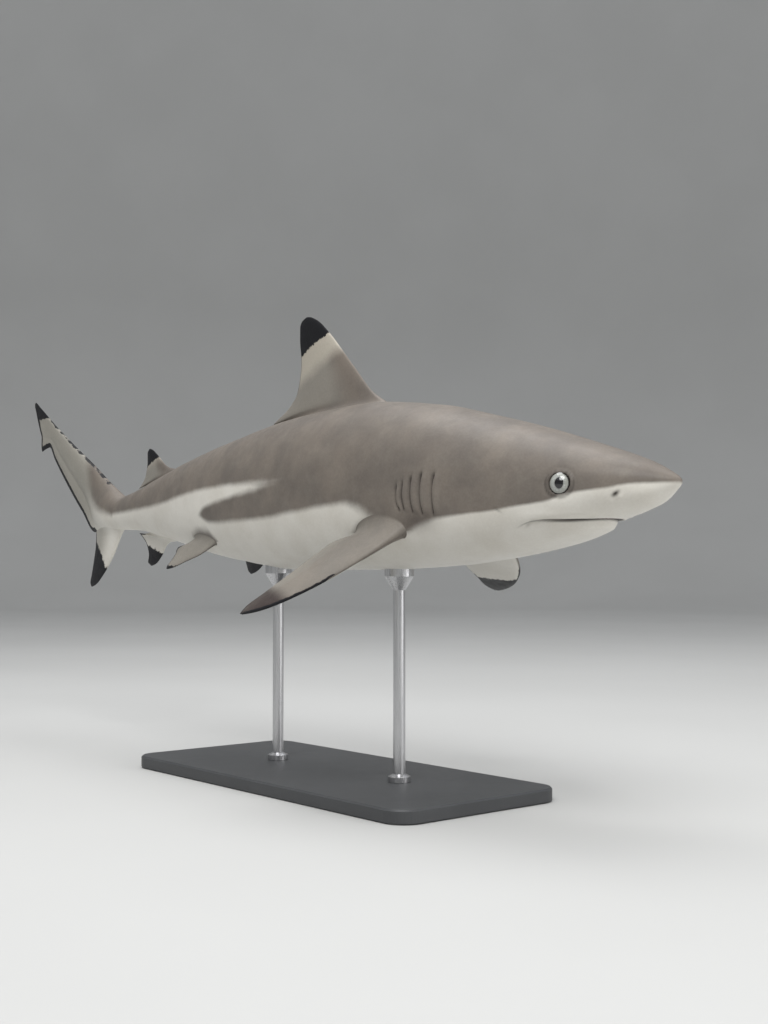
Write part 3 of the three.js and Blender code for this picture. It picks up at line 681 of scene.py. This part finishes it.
row_number = np.arange(ROWS)
on_body = row_number < N_BODY
half_here = np.where(on_body, np.maximum(girth(np.minimum(ROW_AT, 76))[2], 1e-6), 1.0)
top_width = (opening(FIRST_DORSAL) + opening(SECOND_DORSAL)) * on_body
low_width = opening(ANAL) * on_body
TOP_ANGLE = np.arcsin((top_width / half_here) ** (UPPER_POWER / 2))
LOW_ANGLE = np.arcsin((low_width / half_here) ** (belly_power(ROW_AT) / 2))
TAIL_OPENING, TAIL_ROWS = 0.62, 60  # radians that the lower lobe's root opens the tail, and rings it may span
tail_c = lens(LOWER_LOBE, ROW_AT)[1] * ~on_body
tail_c = np.where(np.abs(tail_c - 0.5) > 0.4995, 0, tail_c)
LOW_ANGLE = LOW_ANGLE + TAIL_OPENING * np.sqrt(4 * tail_c * (1 - tail_c)) * (row_number < N_BODY + TAIL_ROWS)

NOSE_BLUNT, NOSE_BLUNT_LENGTH = 0.35, 2.5  # how far the tip of the snout is set back from the axis' end
HEAD_ROOM, HEAD_ROOM_ENDS, LOBE_ROOM = 1.9, 24, 26  # the head has more room in the bake map
STRIP_BOXES = {"side": (0, 0.19), "belly": (0.2, 0.115)}  # bottom and height in the bake map
SIDE_BOTTOMS = {1: 0, -1: 0.32}
MARGIN = 0.004
GILL_DUSK = 0.45  # how much darker the skin is made under the gills, towards the pectoral fin's root
uv_rows = np.cumsum(np.append(0, np.diff(BODY_AT) * np.where(BODY_AT[1:] < HEAD_ROOM_ENDS, HEAD_ROOM, 1.0)))
uv_rows = np.concatenate([uv_rows, uv_rows[-1] + LOBE_ROOM * LOBE_T]) / (uv_rows[-1] + LOBE_ROOM)


def side_columns(eye_share):
    """Shares of the side strip from 0 to 1, closer together over the eye."""
    weight = 1 + EYE_CLOSER * hill(np.linspace(0, 1, SIDE_COLUMNS), eye_share, EYE_REACH)
    share = np.append(0, np.cumsum(weight[1:] + weight[:-1]))
    return share / share[-1]


def body_patch(side, strip):
    """Skin of one side, from the back to the line of the fin roots or from there to the middle of the belly."""
    line = root_line(side)
    beside = [section(np.minimum(ROW_AT, 75), line + turn) for turn in (0.01, -0.01)]
    around = np.maximum(np.linalg.norm(np.subtract(*beside), axis=0) / 0.02, 1e-6)  # percent in a radian
    gap = sum(opening(f) for f in PAIRED if f.side == side) * on_body / around
    if strip == "side":
        start, end, columns = TOP_ANGLE, line - gap, side_columns(eye_angle() / line[0])
    else:
        start, end, columns = line + gap, math.pi - LOW_ANGLE, np.linspace(0, 1, BELLY_COLUMNS)
    angle = start[:, None] * (1 - columns) + end[:, None] * columns
    if strip == "belly":
        angle[:, -1] = end
    angle = angle * side
    rows = np.broadcast_to(row_number[:, None], angle.shape)
    at, left, up, w, t = surface(rows, angle)
    points = body_point(at + NOSE_BLUNT * hill(at, 0, NOSE_BLUNT_LENGTH) * (rows < N_BODY), left, up)
    marks = {m: np.zeros(at.shape) for m in MARKS}
    marks["belly"] = belly_distance(at, up)
    marks["black"] += NO_BLACK
    n = N_BODY
    lift, move, marks["crease_shade"][:n], marks["blush"][:n] = relief(at[:n], left[:n], up[:n], angle[:n], points[:n])
    calm = smooth(at[:n], 0.1, 1.0)
    points[:n] += section_normal(at[:n], angle[:n]) * (lift * calm / 1000)[..., None] + move
    under_gills = hill(at[:n], 19.7, 1.5) * hill(up[:n], -2.7, 0.75) * (np.abs(left[:n]) > 3)
    marks["dusk"][:n] = GILL_DUSK * under_gills
    # painted shade: the flank over each paired fin's root is darkened towards the back's colour
    above = (line[:n, None] - np.abs(angle[:n])) * around[:n, None]
    for fin in PAIRED:
        if fin.side == side and strip == "side":
            marks["belly"][:n] = np.minimum(marks["belly"][:n], root_shade(fin, above))
    for mark, values in lobe_marks(at[n:], up[n:], t[n:], w[n:]).items():
        marks[mark][n:] = values
    bottom, height = STRIP_BOXES[strip]
    box = (MARGIN, SIDE_BOTTOMS[side] + bottom + MARGIN, 1 - 2 * MARGIN, height - 2 * MARGIN)
    add_patch(points, box, uv_rows, **marks)
    return points


borders = {(side, strip): body_patch(side, strip) for side in (1, -1) for strip in ("side", "belly")}

EDGE_HALF = 0.028  # half thickness that a fin's edges keep, percent
FLARE_ROWS = 8  # rows of the flare from the opening in the skin to the fin's first own row
TIP_ROWS, TIP_ROWS_FROM, ROUND_FROM = 10, 0.9, 0.86  # the last rows lie closer, and the tip thins to its edge


def aerofoil(c):
    return 2.6 * np.sqrt(c) * (1 - c)


def fin_grid(fin, x_root, place, on_skin, plus, minus, uv_boxes, marks):
    """Two sheets of a fin, from the opening in the skin to its tip.

    place(x, g, lift) gives points; g is height over the skin. on_skin(x) is the skin's own height there."""
    c = (x_root - x_root[0]) / (x_root[-1] - x_root[0])

    def edge(table, x_first):
        v = [row[0] for row in table]
        x = [x_first] + [row[1] for row in table[1:]]
        g = [0.0] + [fin.sign * (row[2] - float(on_skin(row[1]))) for row in table[1:]]
        return monotone(v, np.array([x, g]).T)

    lead, trail = edge(fin.leading, x_root[0]), edge(fin.trailing, x_root[-1])
    last_rows = TIP_ROWS_FROM + (1 - TIP_ROWS_FROM) * np.sin(np.linspace(0, math.pi / 2, TIP_ROWS)[1:])
    v = np.concatenate([[0], np.linspace(fin.first, TIP_ROWS_FROM, fin.rows - TIP_ROWS), last_rows])
    mix = c[None, :] ** (1 + 0.55 * smooth(v[:, None], 0, 0.35))
    a, b = lead(v)[:, None, :], trail(v)[:, None, :]
    plan = a + (b - a) * mix[..., None]
    near_tip = np.clip(v[:, None] - ROUND_FROM, 0, 1) / (1 - ROUND_FROM)
    half = (fin.half_root + (fin.half_tip - fin.half_root) * v[:, None] ** 0.75) * aerofoil(mix)
    half = half + EDGE_HALF * np.clip(4 * mix * (1 - mix), 0, 1) ** 0.5
    half = half * np.sqrt(np.clip(1 - near_tip**2, 0, 1))
    q = (np.arange(FLARE_ROWS) / FLARE_ROWS)[:, None]
    root_rows = np.broadcast_to(plan[0, :, 0], (FLARE_ROWS, len(c)))
    i = SimpleNamespace(
        v=np.concatenate([fin.first * q**2, v[1:, None]]) * np.ones_like(c),
        c=np.concatenate([np.broadcast_to(c, (FLARE_ROWS, len(c))), mix[1:]]),
        x=np.concatenate([root_rows, plan[1:, :, 0]]),
        g=np.concatenate([plan[1, None, :, 1] * q**2, plan[1:, :, 1]]),
    )
    fine = np.linspace(0, 1, 120)
    i.from_leading, i.from_trailing = edge_distance(i.x, i.g, lead(fine)), edge_distance(i.x, i.g, trail(fine))
    for border, sign, uv_box in ((plus, 1, uv_boxes[0]), (minus, -1, uv_boxes[1])):
        sheet = place(plan[..., 0], plan[..., 1], sign * half)
        s = q[1:, :, None]
        flare = border * (1 - s) ** 2 + sheet[0] * 2 * s * (1 - s) + sheet[1] * s * s
        points = np.concatenate([border[None], flare, sheet[1:]])
        add_patch(points, uv_box, fin=smooth(i.v, 0.1, 0.35), ray=i.c, **marks(i, sign > 0))


def median_fin(fin, strip, column, uv_boxes, marks):
    rows = rows_of(fin)

    def place(x, g, lift):
        return body_point(x, lift, fin.line(x) + fin.sign * g)

    left, right = (borders[side, strip][rows, column] for side in (1, -1))
    fin_grid(fin, ROW_AT[rows], place, fin.line, left, right, uv_boxes, marks)


def paired_fin(fin, uv_boxes, marks):
    rows = rows_of(fin)
    sweep = math.radians(fin.sweep)
    x = (ROW_AT[rows] - fin.at) / math.cos(sweep)
    for _ in range(12):
        x = (ROW_AT[rows] - fin.at - skin_reach(fin, x) * math.sin(sweep)) / math.cos(sweep)
    reach = skin_reach(fin, x)

    def on_skin(value):
        return np.interp(value, x, reach)

    def place(px, g, lift):
        return body_point(*paired_place(fin, px, on_skin(px) + g, lift))

    top, under = borders[fin.side, "side"][rows, -1], borders[fin.side, "belly"][rows, 0]
    fin_grid(fin, x, place, on_skin, top, under, uv_boxes, marks)


# Straight lower edges of the dorsal fins' black and pale parts: at, up and slope
FIRST_BLACK, FIRST_BAND = (37.7, 14.1, -0.34), (35.8, 12.0, -0.42)
SECOND_BLACK, SECOND_BAND = (67, 6.1, -0.28), (67, 5.2, -0.2)
PALE, DARK, PELVIC_GREY = 2.0, -2.0, -0.9  # "belly" well inside the pale skin, the dark skin, and between


def above_line(i, line):
    return back_line(i.x) + i.g - (line[1] + line[2] * (i.x - line[0]))


def first_dorsal_marks(i, top):
    black = above_line(i, FIRST_BLACK) - 0.25 * (1 - i.c)
    tone = 0.6 * smooth(i.c, 0.1, 0.4) * smooth(i.v, 0.02, 0.15)
    return dict(belly=DARK, black=black, band=above_line(i, FIRST_BAND), tone=tone)


def second_dorsal_marks(i, top):
    tone = 0.75 * smooth(i.v, 0.05, 0.25) * smooth(i.c, 0.1, 0.4)
    return dict(belly=DARK, black=above_line(i, SECOND_BLACK), band=above_line(i, SECOND_BAND), tone=tone)


def anal_marks(i, top):
    edge = rim(0.13, i.from_trailing, smooth(i.v, 0.08, 0.16))
    black = np.maximum((i.v - 0.56 + 0.1 * i.c) * 5, edge)
    return dict(belly=PALE, black=black, tone=0.15 * smooth(i.v, 0.1, 0.4))


def lower_lobe_marks(i, top):
    black = (i.v - 0.55 + 0.38 * i.c**1.3) * 6
    black = np.maximum(black, rim(0.27, i.from_trailing, 1))
    return dict(belly=PALE, black=black, tone=0.75 * smooth(i.c, 0.2, 0.75))


def pale_under(i, root_edge):
    """The pale underside of a paired fin, with a grey leading edge that is wider at the root."""
    return np.minimum(PALE, (i.from_leading - 0.08 - root_edge * (1 - smooth(i.v, 0.15, 0.35))) * 4)


def pectoral_marks(i, top):
    if top:
        leading = rim(0.1 + 0.12 * smooth(i.v, 0.5, 1), i.from_leading, smooth(i.v, 0.3, 0.5))
        trailing = rim(0.06 + 0.14 * smooth(i.v, 0.7, 1), i.from_trailing, smooth(i.v, 0.6, 0.7))
        dusk, tone = smooth(i.v + 0.05 * i.c, 0.7, 0.8), 0.25 + 0.3 * smooth(i.c, 0.5, 0.95)
        return dict(belly=-1.6, black=np.maximum(leading, trailing), dusk=dusk, tone=tone)
    trailing = rim(0.13, i.from_trailing, smooth(i.v, 0.2, 0.3))
    leading = rim(0.12, i.from_leading, smooth(i.v, 0.42, 0.55))
    black = np.maximum((i.v - 0.72) * 9, np.maximum(trailing, leading))
    return dict(belly=pale_under(i, 0.4), black=black)


def pelvic_marks(i, top):
    edge = rim(0.13 + 0.12 * (1 - smooth(i.v, 0.2, 0.35)), i.from_trailing, smooth(i.v, 0.02, 0.06))
    if top:
        return dict(belly=PELVIC_GREY, black=np.maximum((i.v - 0.84) * 4, edge), tone=0.55)
    return dict(belly=pale_under(i, 0.25), black=np.maximum((i.v - 0.5) * 4, edge))


fin_boxes = [(0.002 + 0.125 * (k % 8), 0.646 + 0.18 * (k // 8), 0.12, 0.172) for k in range(16)]
median_fin(FIRST_DORSAL, "side", 0, fin_boxes[0:2], first_dorsal_marks)
median_fin(SECOND_DORSAL, "side", 0, fin_boxes[2:4], second_dorsal_marks)
median_fin(ANAL, "belly", -1, fin_boxes[4:6], anal_marks)
median_fin(LOWER_LOBE, "belly", -1, fin_boxes[6:8], lower_lobe_marks)
for k, (fin, marks) in enumerate(zip(PAIRED, [pectoral_marks] * 2 + [pelvic_marks] * 2)):
    paired_fin(fin, fin_boxes[8 + 2 * k : 10 + 2 * k], marks)

WELD = 1e-6  # metres


def smooth_closed(mesh):
    """Faces turned outwards and shaded smooth."""
    bm = bmesh.new()
    bm.from_mesh(mesh)
    bmesh.ops.recalc_face_normals(bm, faces=bm.faces)
    bm.to_mesh(mesh)
    bm.free()
    mesh.polygons.foreach_set("use_smooth", np.ones(len(mesh.polygons), bool))


def join_patches(name):
    """One closed mesh from the patches: points in the same place become one."""
    counts = [p["points"].shape[0] * p["points"].shape[1] for p in patches]
    starts = np.concatenate([[0], np.cumsum(counts)])[:-1]
    points = np.concatenate([p["points"].reshape(-1, 3) for p in patches])
    cells = np.round(points / WELD).astype(np.int64)
    _, first, index = np.unique(cells, axis=0, return_index=True, return_inverse=True)
    index = index.reshape(-1)
    quads, corners = [], []
    for p, start in zip(patches, starts):
        r, c = p["points"].shape[:2]
        g = start + np.arange(r * c).reshape(r, c)
        q = np.stack([g[:-1, :-1], g[1:, :-1], g[1:, 1:], g[:-1, 1:]], -1).reshape(-1, 4)
        quads.append(index[q])
        corners.append(p["uv"].reshape(-1, 2)[q - start])
    quads, corners = np.concatenate(quads), np.concatenate(corners)
    repeated = quads == np.roll(quads, -1, axis=1)
    crossed = (quads[:, 0] == quads[:, 2]) | (quads[:, 1] == quads[:, 3])
    keep = (repeated.sum(1) <= 1) & ~crossed
    quads, corners, repeated = quads[keep], corners[keep], repeated[keep]
    loops = quads[~repeated]
    sizes = 4 - repeated.sum(1)
    mesh = bpy.data.meshes.new(name)
    mesh.vertices.add(len(first))
    mesh.vertices.foreach_set("co", points[first].ravel())
    mesh.loops.add(len(loops))
    mesh.loops.foreach_set("vertex_index", loops.astype(np.int32))
    mesh.polygons.add(len(sizes))
    mesh.polygons.foreach_set("loop_start", np.concatenate([[0], np.cumsum(sizes)[:-1]]).astype(np.int32))
    mesh.polygons.foreach_set("loop_total", sizes.astype(np.int32))
    mesh.uv_layers.new(name="OFBake")
    mesh.uv_layers["OFBake"].data.foreach_set("uv", corners[~repeated].ravel())
    mesh.update(calc_edges=True)
    for mark in MARKS:
        values = np.concatenate([p[mark].reshape(-1) for p in patches])
        total = np.bincount(index, values, len(first)) / np.bincount(index, minlength=len(first))
        mesh.attributes.new(mark, "FLOAT", "POINT").data.foreach_set("value", total.astype(np.float32))
    smooth_closed(mesh)
    mesh.validate()
    return mesh


def add_object(name, mesh, material):
    mesh.materials.append(material)
    o = bpy.data.objects.new(name, mesh)
    bpy.context.scene.collection.objects.link(o)
    return o


# ---- Materials
class Nodes:
    """Short calls for a material's node tree. An input is a socket, a number or a colour."""

    def __init__(self, name):
        self.material = bpy.data.materials.new(name)
        self.material.use_nodes = True
        self.tree = self.material.node_tree
        self.shader = self.tree.nodes["Principled BSDF"]

    def feed(self, socket, value):
        if isinstance(value, bpy.types.NodeSocket):
            self.tree.links.new(value, socket)
        elif hasattr(socket.default_value, "__len__") and not isinstance(value, (int, float)):
            socket.default_value = (*value, 1.0) if len(value) == 3 and len(socket.default_value) == 4 else value
        else:
            socket.default_value = value

    def add(self, kind, out=0, settings=(), **inputs):
        n = self.tree.nodes.new(kind)
        for key, value in dict(settings).items():
            setattr(n, key, value)
        for key, value in inputs.items():
            self.feed(n.inputs[int(key[1:])] if key[0] == "_" else n.inputs[key], value)
        return n.outputs[out]

    def attribute(self, name):
        return self.add("ShaderNodeAttribute", "Fac", {"attribute_name": name, "attribute_type": "GEOMETRY"})

    def math(self, operation, a, b=0.0, c=0.0):
        return self.add("ShaderNodeMath", 0, {"operation": operation}, _0=a, _1=b, _2=c)

    def times(self, a, b):
        return self.math("MULTIPLY", a, b)

    def plus(self, a, b):
        return self.math("ADD", a, b)

    def noise(self, scale, detail=3.0, rough=0.55, vector=None):
        extra = {} if vector is None else {"Vector": vector}
        return self.add("ShaderNodeTexNoise", "Fac", {}, Scale=scale, Detail=detail, Roughness=rough, **extra)

    def step(self, value, start, end, low=0.0, high=1.0):
        return self.add(
            "ShaderNodeMapRange", 0, {"interpolation_type": "SMOOTHSTEP"}, _0=value, _1=start, _2=end, _3=low, _4=high
        )

    def mix(self, amount, a, b, blend="MIX"):
        n = self.tree.nodes.new("ShaderNodeMix")
        n.data_type, n.blend_type = "RGBA", blend
        self.feed(n.inputs[0], amount)
        self.feed(n.inputs[6], a)
        self.feed(n.inputs[7], b)
        return n.outputs[2]

    def place(self, scale=(1, 1, 1)):
        point = self.add("ShaderNodeTexCoord", "Object")
        return self.add("ShaderNodeMapping", 0, {}, Vector=point, Scale=scale)

    def finish(self, colour, rough, bump=None, strength=0.2, distance=0.001, **sockets):
        self.feed(self.shader.inputs["Base Color"], colour)
        self.feed(self.shader.inputs["Roughness"], rough)
        for key, value in sockets.items():
            self.shader.inputs[key.replace("_", " ")].default_value = value
        if bump is not None:
            n = self.add("ShaderNodeBump", 0, {}, Strength=strength, Distance=distance, Height=bump)
            self.tree.links.new(n, self.shader.inputs["Normal"])
        return self.material


BACK, BACK_WARM = (0.140, 0.123, 0.108), (0.185, 0.159, 0.135)
BELLY, BELLY_SHADE = (0.69, 0.665, 0.61), (0.62, 0.59, 0.53)
BAND, TONE, DUSK = (0.42, 0.385, 0.325), (0.30, 0.285, 0.25), (0.045, 0.033, 0.030)
# the crease colour is painted shade
BLACK, CREASE_SHADE, BLUSH = (0.011, 0.011, 0.013), (0.030, 0.024, 0.022), (0.36, 0.09, 0.075)


def skin_material():
    m = Nodes("shark_skin")
    place = m.place()
    ragged = m.math("SUBTRACT", m.noise(42, 5, 0.62, place), 0.5)
    fine_ragged = m.math("SUBTRACT", m.noise(190, 4, 0.65, place), 0.5)
    mottle = m.noise(17, 5, 0.6, place)
    speckle = m.noise(420, 2, 0.5, place)
    belly = m.plus(m.attribute("belly"), m.times(ragged, 0.2))
    belly = m.plus(belly, m.times(fine_ragged, 0.04))
    pale = m.step(belly, -0.26, 0.26)
    black = m.plus(m.attribute("black"), m.times(ragged, 0.5))
    black = m.plus(black, m.times(fine_ragged, 0.8))
    tip = m.step(black, -0.05, 0.07)
    band = m.step(m.plus(m.attribute("band"), m.times(ragged, 0.9)), -0.2, 1.7)
    back = m.mix(m.step(mottle, 0.3, 0.7), BACK, BACK_WARM)
    under = m.mix(m.step(mottle, 0.3, 0.75), BELLY, BELLY_SHADE)
    colour = m.mix(pale, m.mix(band, back, BAND), under)
    colour = m.mix(m.attribute("tone"), colour, m.mix(band, TONE, BAND))
    dusk = m.times(m.attribute("dusk"), m.step(mottle, 0.2, 0.6, 0.75, 1.0))
    colour = m.mix(dusk, colour, DUSK)
    colour = m.mix(m.times(m.attribute("blush"), 0.75), colour, BLUSH)
    colour = m.mix(tip, colour, BLACK)
    # painted shade in the gill slits, mouth groove, nostrils, folds, vent and eye sockets
    colour = m.mix(m.times(m.attribute("crease_shade"), 0.9), colour, CREASE_SHADE)
    colour = m.mix(0.05, colour, m.step(speckle, 0.3, 0.7), "SOFT_LIGHT")
    ray_place = m.add("ShaderNodeCombineXYZ", 0, {}, _0=m.times(m.attribute("ray"), 55.0))
    rays = m.times(m.noise(1.0, 2, 0.5, ray_place), m.attribute("fin"))
    height = m.plus(m.times(speckle, 0.22), m.times(rays, 0.9))
    rough = m.step(m.noise(90, 3, 0.6, place), 0.3, 0.7, 0.38, 0.48)
    return m.finish(colour, rough, height, 0.25, 0.001, Specular_IOR_Level=0.17)


def eye_material():
    m = Nodes("shark_eye")
    x, y = m.attribute("eye_x"), m.attribute("eye_y")
    radius = m.math("SQRT", m.plus(m.times(x, x), m.times(y, y)))
    px, py = m.math("DIVIDE", m.plus(x, 1.5), 4.3), m.math("DIVIDE", y, 5.6)
    pupil = m.math("SQRT", m.plus(m.times(px, px), m.times(py, py)))
    angle = m.math("ARCTAN2", y, x)
    around, outwards = m.times(angle, 9.0), m.times(radius, 0.35)
    streak_place = m.add("ShaderNodeCombineXYZ", 0, {}, _0=around, _1=outwards)
    streak = m.noise(1.0, 3, 0.6, streak_place)
    iris = m.mix(m.step(streak, 0.3, 0.7), (0.27, 0.28, 0.26), (0.43, 0.445, 0.415))
    iris = m.mix(m.step(radius, 6.8, 8.6, 0.0, 0.6), iris, (0.26, 0.26, 0.23))
    iris = m.mix(m.step(pupil, 1.02, 1.35, 0.5, 0.0), iris, (0.16, 0.16, 0.15))
    colour = m.mix(m.step(pupil, 0.94, 1.04, 1.0, 0.0), iris, (0.004, 0.004, 0.005))
    colour = m.mix(m.step(radius, 9.3, 10.2), colour, (0.02, 0.018, 0.016))
    return m.finish(colour, 0.16, streak, 0.08, 0.0003, Coat_Weight=0.6, Coat_Roughness=0.04)


def base_material():
    m = Nodes("stand_satin_paint")
    place = m.place()
    grain, cloud = m.noise(700, 2, 0.5, place), m.noise(9, 3, 0.6, place)
    colour = m.mix(m.step(cloud, 0.3, 0.7), (0.045, 0.047, 0.050), (0.058, 0.060, 0.063))
    return m.finish(colour, m.step(cloud, 0.3, 0.7, 0.42, 0.5), grain, 0.12, 0.0004)


def rod_material():
    m = Nodes("stand_brushed_steel")
    grain = m.noise(1.0, 3, 0.6, m.place((1500, 1500, 12)))
    colour = m.mix(m.step(grain, 0.3, 0.7), (0.50, 0.50, 0.51), (0.62, 0.62, 0.63))
    return m.finish(colour, m.step(grain, 0.3, 0.7, 0.24, 0.38), grain, 0.1, 0.0003, Metallic=1.0)


def floor_material():
    m = Nodes("floor")
    cloud = m.noise(1.3, 3, 0.5, m.place())
    return m.finish(m.mix(m.step(cloud, 0.3, 0.7), (0.50, 0.50, 0.49), (0.52, 0.52, 0.51)), 0.85)


skin = add_object("shark_skin", join_patches("shark_skin"), skin_material())
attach(skin, "root")
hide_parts(*FLESH)

# ---- Eyes
EYE_RINGS, EYE_SPOKES = 40, 72
EYE_COVERS, CORNEA = 118, 0.5  # degrees from the pupil to the last ring, and the cornea's bulge in mm


def eye_mesh(side):
    centre, out, back, up = eye_frame(side)
    middle = centre - out * (EYE_SINK / 1000)
    polar = np.linspace(0, math.radians(EYE_COVERS), EYE_RINGS)[1:]
    spin = np.linspace(0, 2 * math.pi, EYE_SPOKES, endpoint=False)
    radius = EYE_RADIUS + CORNEA * hill(polar, 0, 0.35)
    x = (radius * np.sin(polar))[:, None] * np.cos(spin)
    y = (radius * np.sin(polar))[:, None] * np.sin(spin)
    z = (radius * np.cos(polar))[:, None] + 0 * x
    front, rear = (0.0, 0.0, EYE_RADIUS + CORNEA), (0.0, 0.0, -EYE_RADIUS * 0.5)
    flat = [front, *zip(x.ravel(), y.ravel(), z.ravel()), rear]
    verts = [middle + (back * p[0] + up * p[1] + out * p[2]) / 1000 for p in flat]
    faces = []
    for k in range(EYE_SPOKES):
        j = (k + 1) % EYE_SPOKES
        faces.append((0, 1 + k, 1 + j))
        for r in range(EYE_RINGS - 2):
            a = 1 + r * EYE_SPOKES
            faces.append((a + k, a + EYE_SPOKES + k, a + EYE_SPOKES + j, a + j))
        last = 1 + (EYE_RINGS - 2) * EYE_SPOKES
        faces.append((last + k, len(flat) - 1, last + j))
    mesh = bpy.data.meshes.new("eyeball")
    mesh.from_pydata(verts, [], faces)
    for name, axis in (("eye_x", 0), ("eye_y", 1)):
        values = np.array([p[axis] for p in flat], np.float32)
        mesh.attributes.new(name, "FLOAT", "POINT").data.foreach_set("value", values)
    smooth_closed(mesh)
    return mesh


EYE_MATERIAL = eye_material()
for side, word in ((1, "left"), (-1, "right")):
    eye = add_object("eyeball_" + word, eye_mesh(side), EYE_MATERIAL)
    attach(eye, "root")
    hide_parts("eye_" + word)

# ---- Stand
for name, make in (("base", base_material), ("rod_front", rod_material), ("rod_rear", rod_material)):
    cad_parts["stand_" + name].material_slots[0].material = make()

# ---- Floor, light and camera
FLOOR_RADIUS, COVE_RADIUS, WALL_HEIGHT, FLOOR_SPOKES = 7.0, 2.5, 7.0, 96
MIDDLE = (0.0, 0.0, 0.35)  # the lights point here


def cove():
    """A round studio floor that turns up into a wall all round."""
    bend = np.linspace(0, math.pi / 2, 16)[1:]
    profile = [(0.001, 0.0), (2.0, 0.0), (4.0, 0.0), (FLOOR_RADIUS, 0.0)]
    profile += [(FLOOR_RADIUS + COVE_RADIUS * math.sin(a), COVE_RADIUS * (1 - math.cos(a))) for a in bend]
    profile.append((FLOOR_RADIUS + COVE_RADIUS, WALL_HEIGHT))
    spin = np.linspace(0, 2 * math.pi, FLOOR_SPOKES, endpoint=False)
    verts = [(r * math.cos(a), r * math.sin(a), z) for r, z in profile for a in spin]
    faces = []
    for low in range(0, FLOOR_SPOKES * (len(profile) - 1), FLOOR_SPOKES):
        for k in range(FLOOR_SPOKES):
            j = (k + 1) % FLOOR_SPOKES
            faces.append((low + k, low + j, low + FLOOR_SPOKES + j, low + FLOOR_SPOKES + k))
    faces.append(tuple(range(FLOOR_SPOKES)))
    mesh = bpy.data.meshes.new("studio_floor")
    mesh.from_pydata(verts, [], faces)
    mesh.polygons.foreach_set("use_smooth", np.ones(len(mesh.polygons), bool))
    return mesh


floor = add_object("studio_floor", cove(), floor_material())


def area_light(name, place, size, power):
    data = bpy.data.lights.new(name, "AREA")
    data.shape, data.size, data.energy = "DISK", size, power
    o = bpy.data.objects.new(name, data)
    o.location = place
    o.rotation_euler = (Vector(MIDDLE) - Vector(place)).to_track_quat("-Z", "Y").to_euler()
    bpy.context.scene.collection.objects.link(o)


area_light("key", (1.6, -1.8, 3.0), 2.2, 92)
area_light("top", (-0.6, 0.3, 3.4), 2.6, 58)
area_light("fill", (2.6, 0.9, 1.0), 2.0, 22)
world = bpy.data.worlds.new("studio")
world.use_nodes = True
background = world.node_tree.nodes["Background"].inputs
background["Color"].default_value = (0.95, 0.97, 1.0, 1.0)
background["Strength"].default_value = 0.72
bpy.context.scene.world = world
bpy.context.scene.view_settings.view_transform = "Standard"

CAMERA_PLACE, CAMERA_AZIMUTH, CAMERA_PITCH = (1.2849, -0.9935, 0.26056), 50.0, 2.46
CAMERA_LENS, SENSOR_HEIGHT = 46.39, 36.0
camera_data = bpy.data.cameras.new("camera")
camera_data.sensor_fit = "VERTICAL"
camera_data.sensor_height = SENSOR_HEIGHT
camera_data.lens = CAMERA_LENS
camera = bpy.data.objects.new("camera", camera_data)
camera.location = CAMERA_PLACE
camera.rotation_euler = (math.radians(90 + CAMERA_PITCH), 0, math.radians(CAMERA_AZIMUTH))
bpy.context.scene.collection.objects.link(camera)
bpy.context.scene.camera = camera
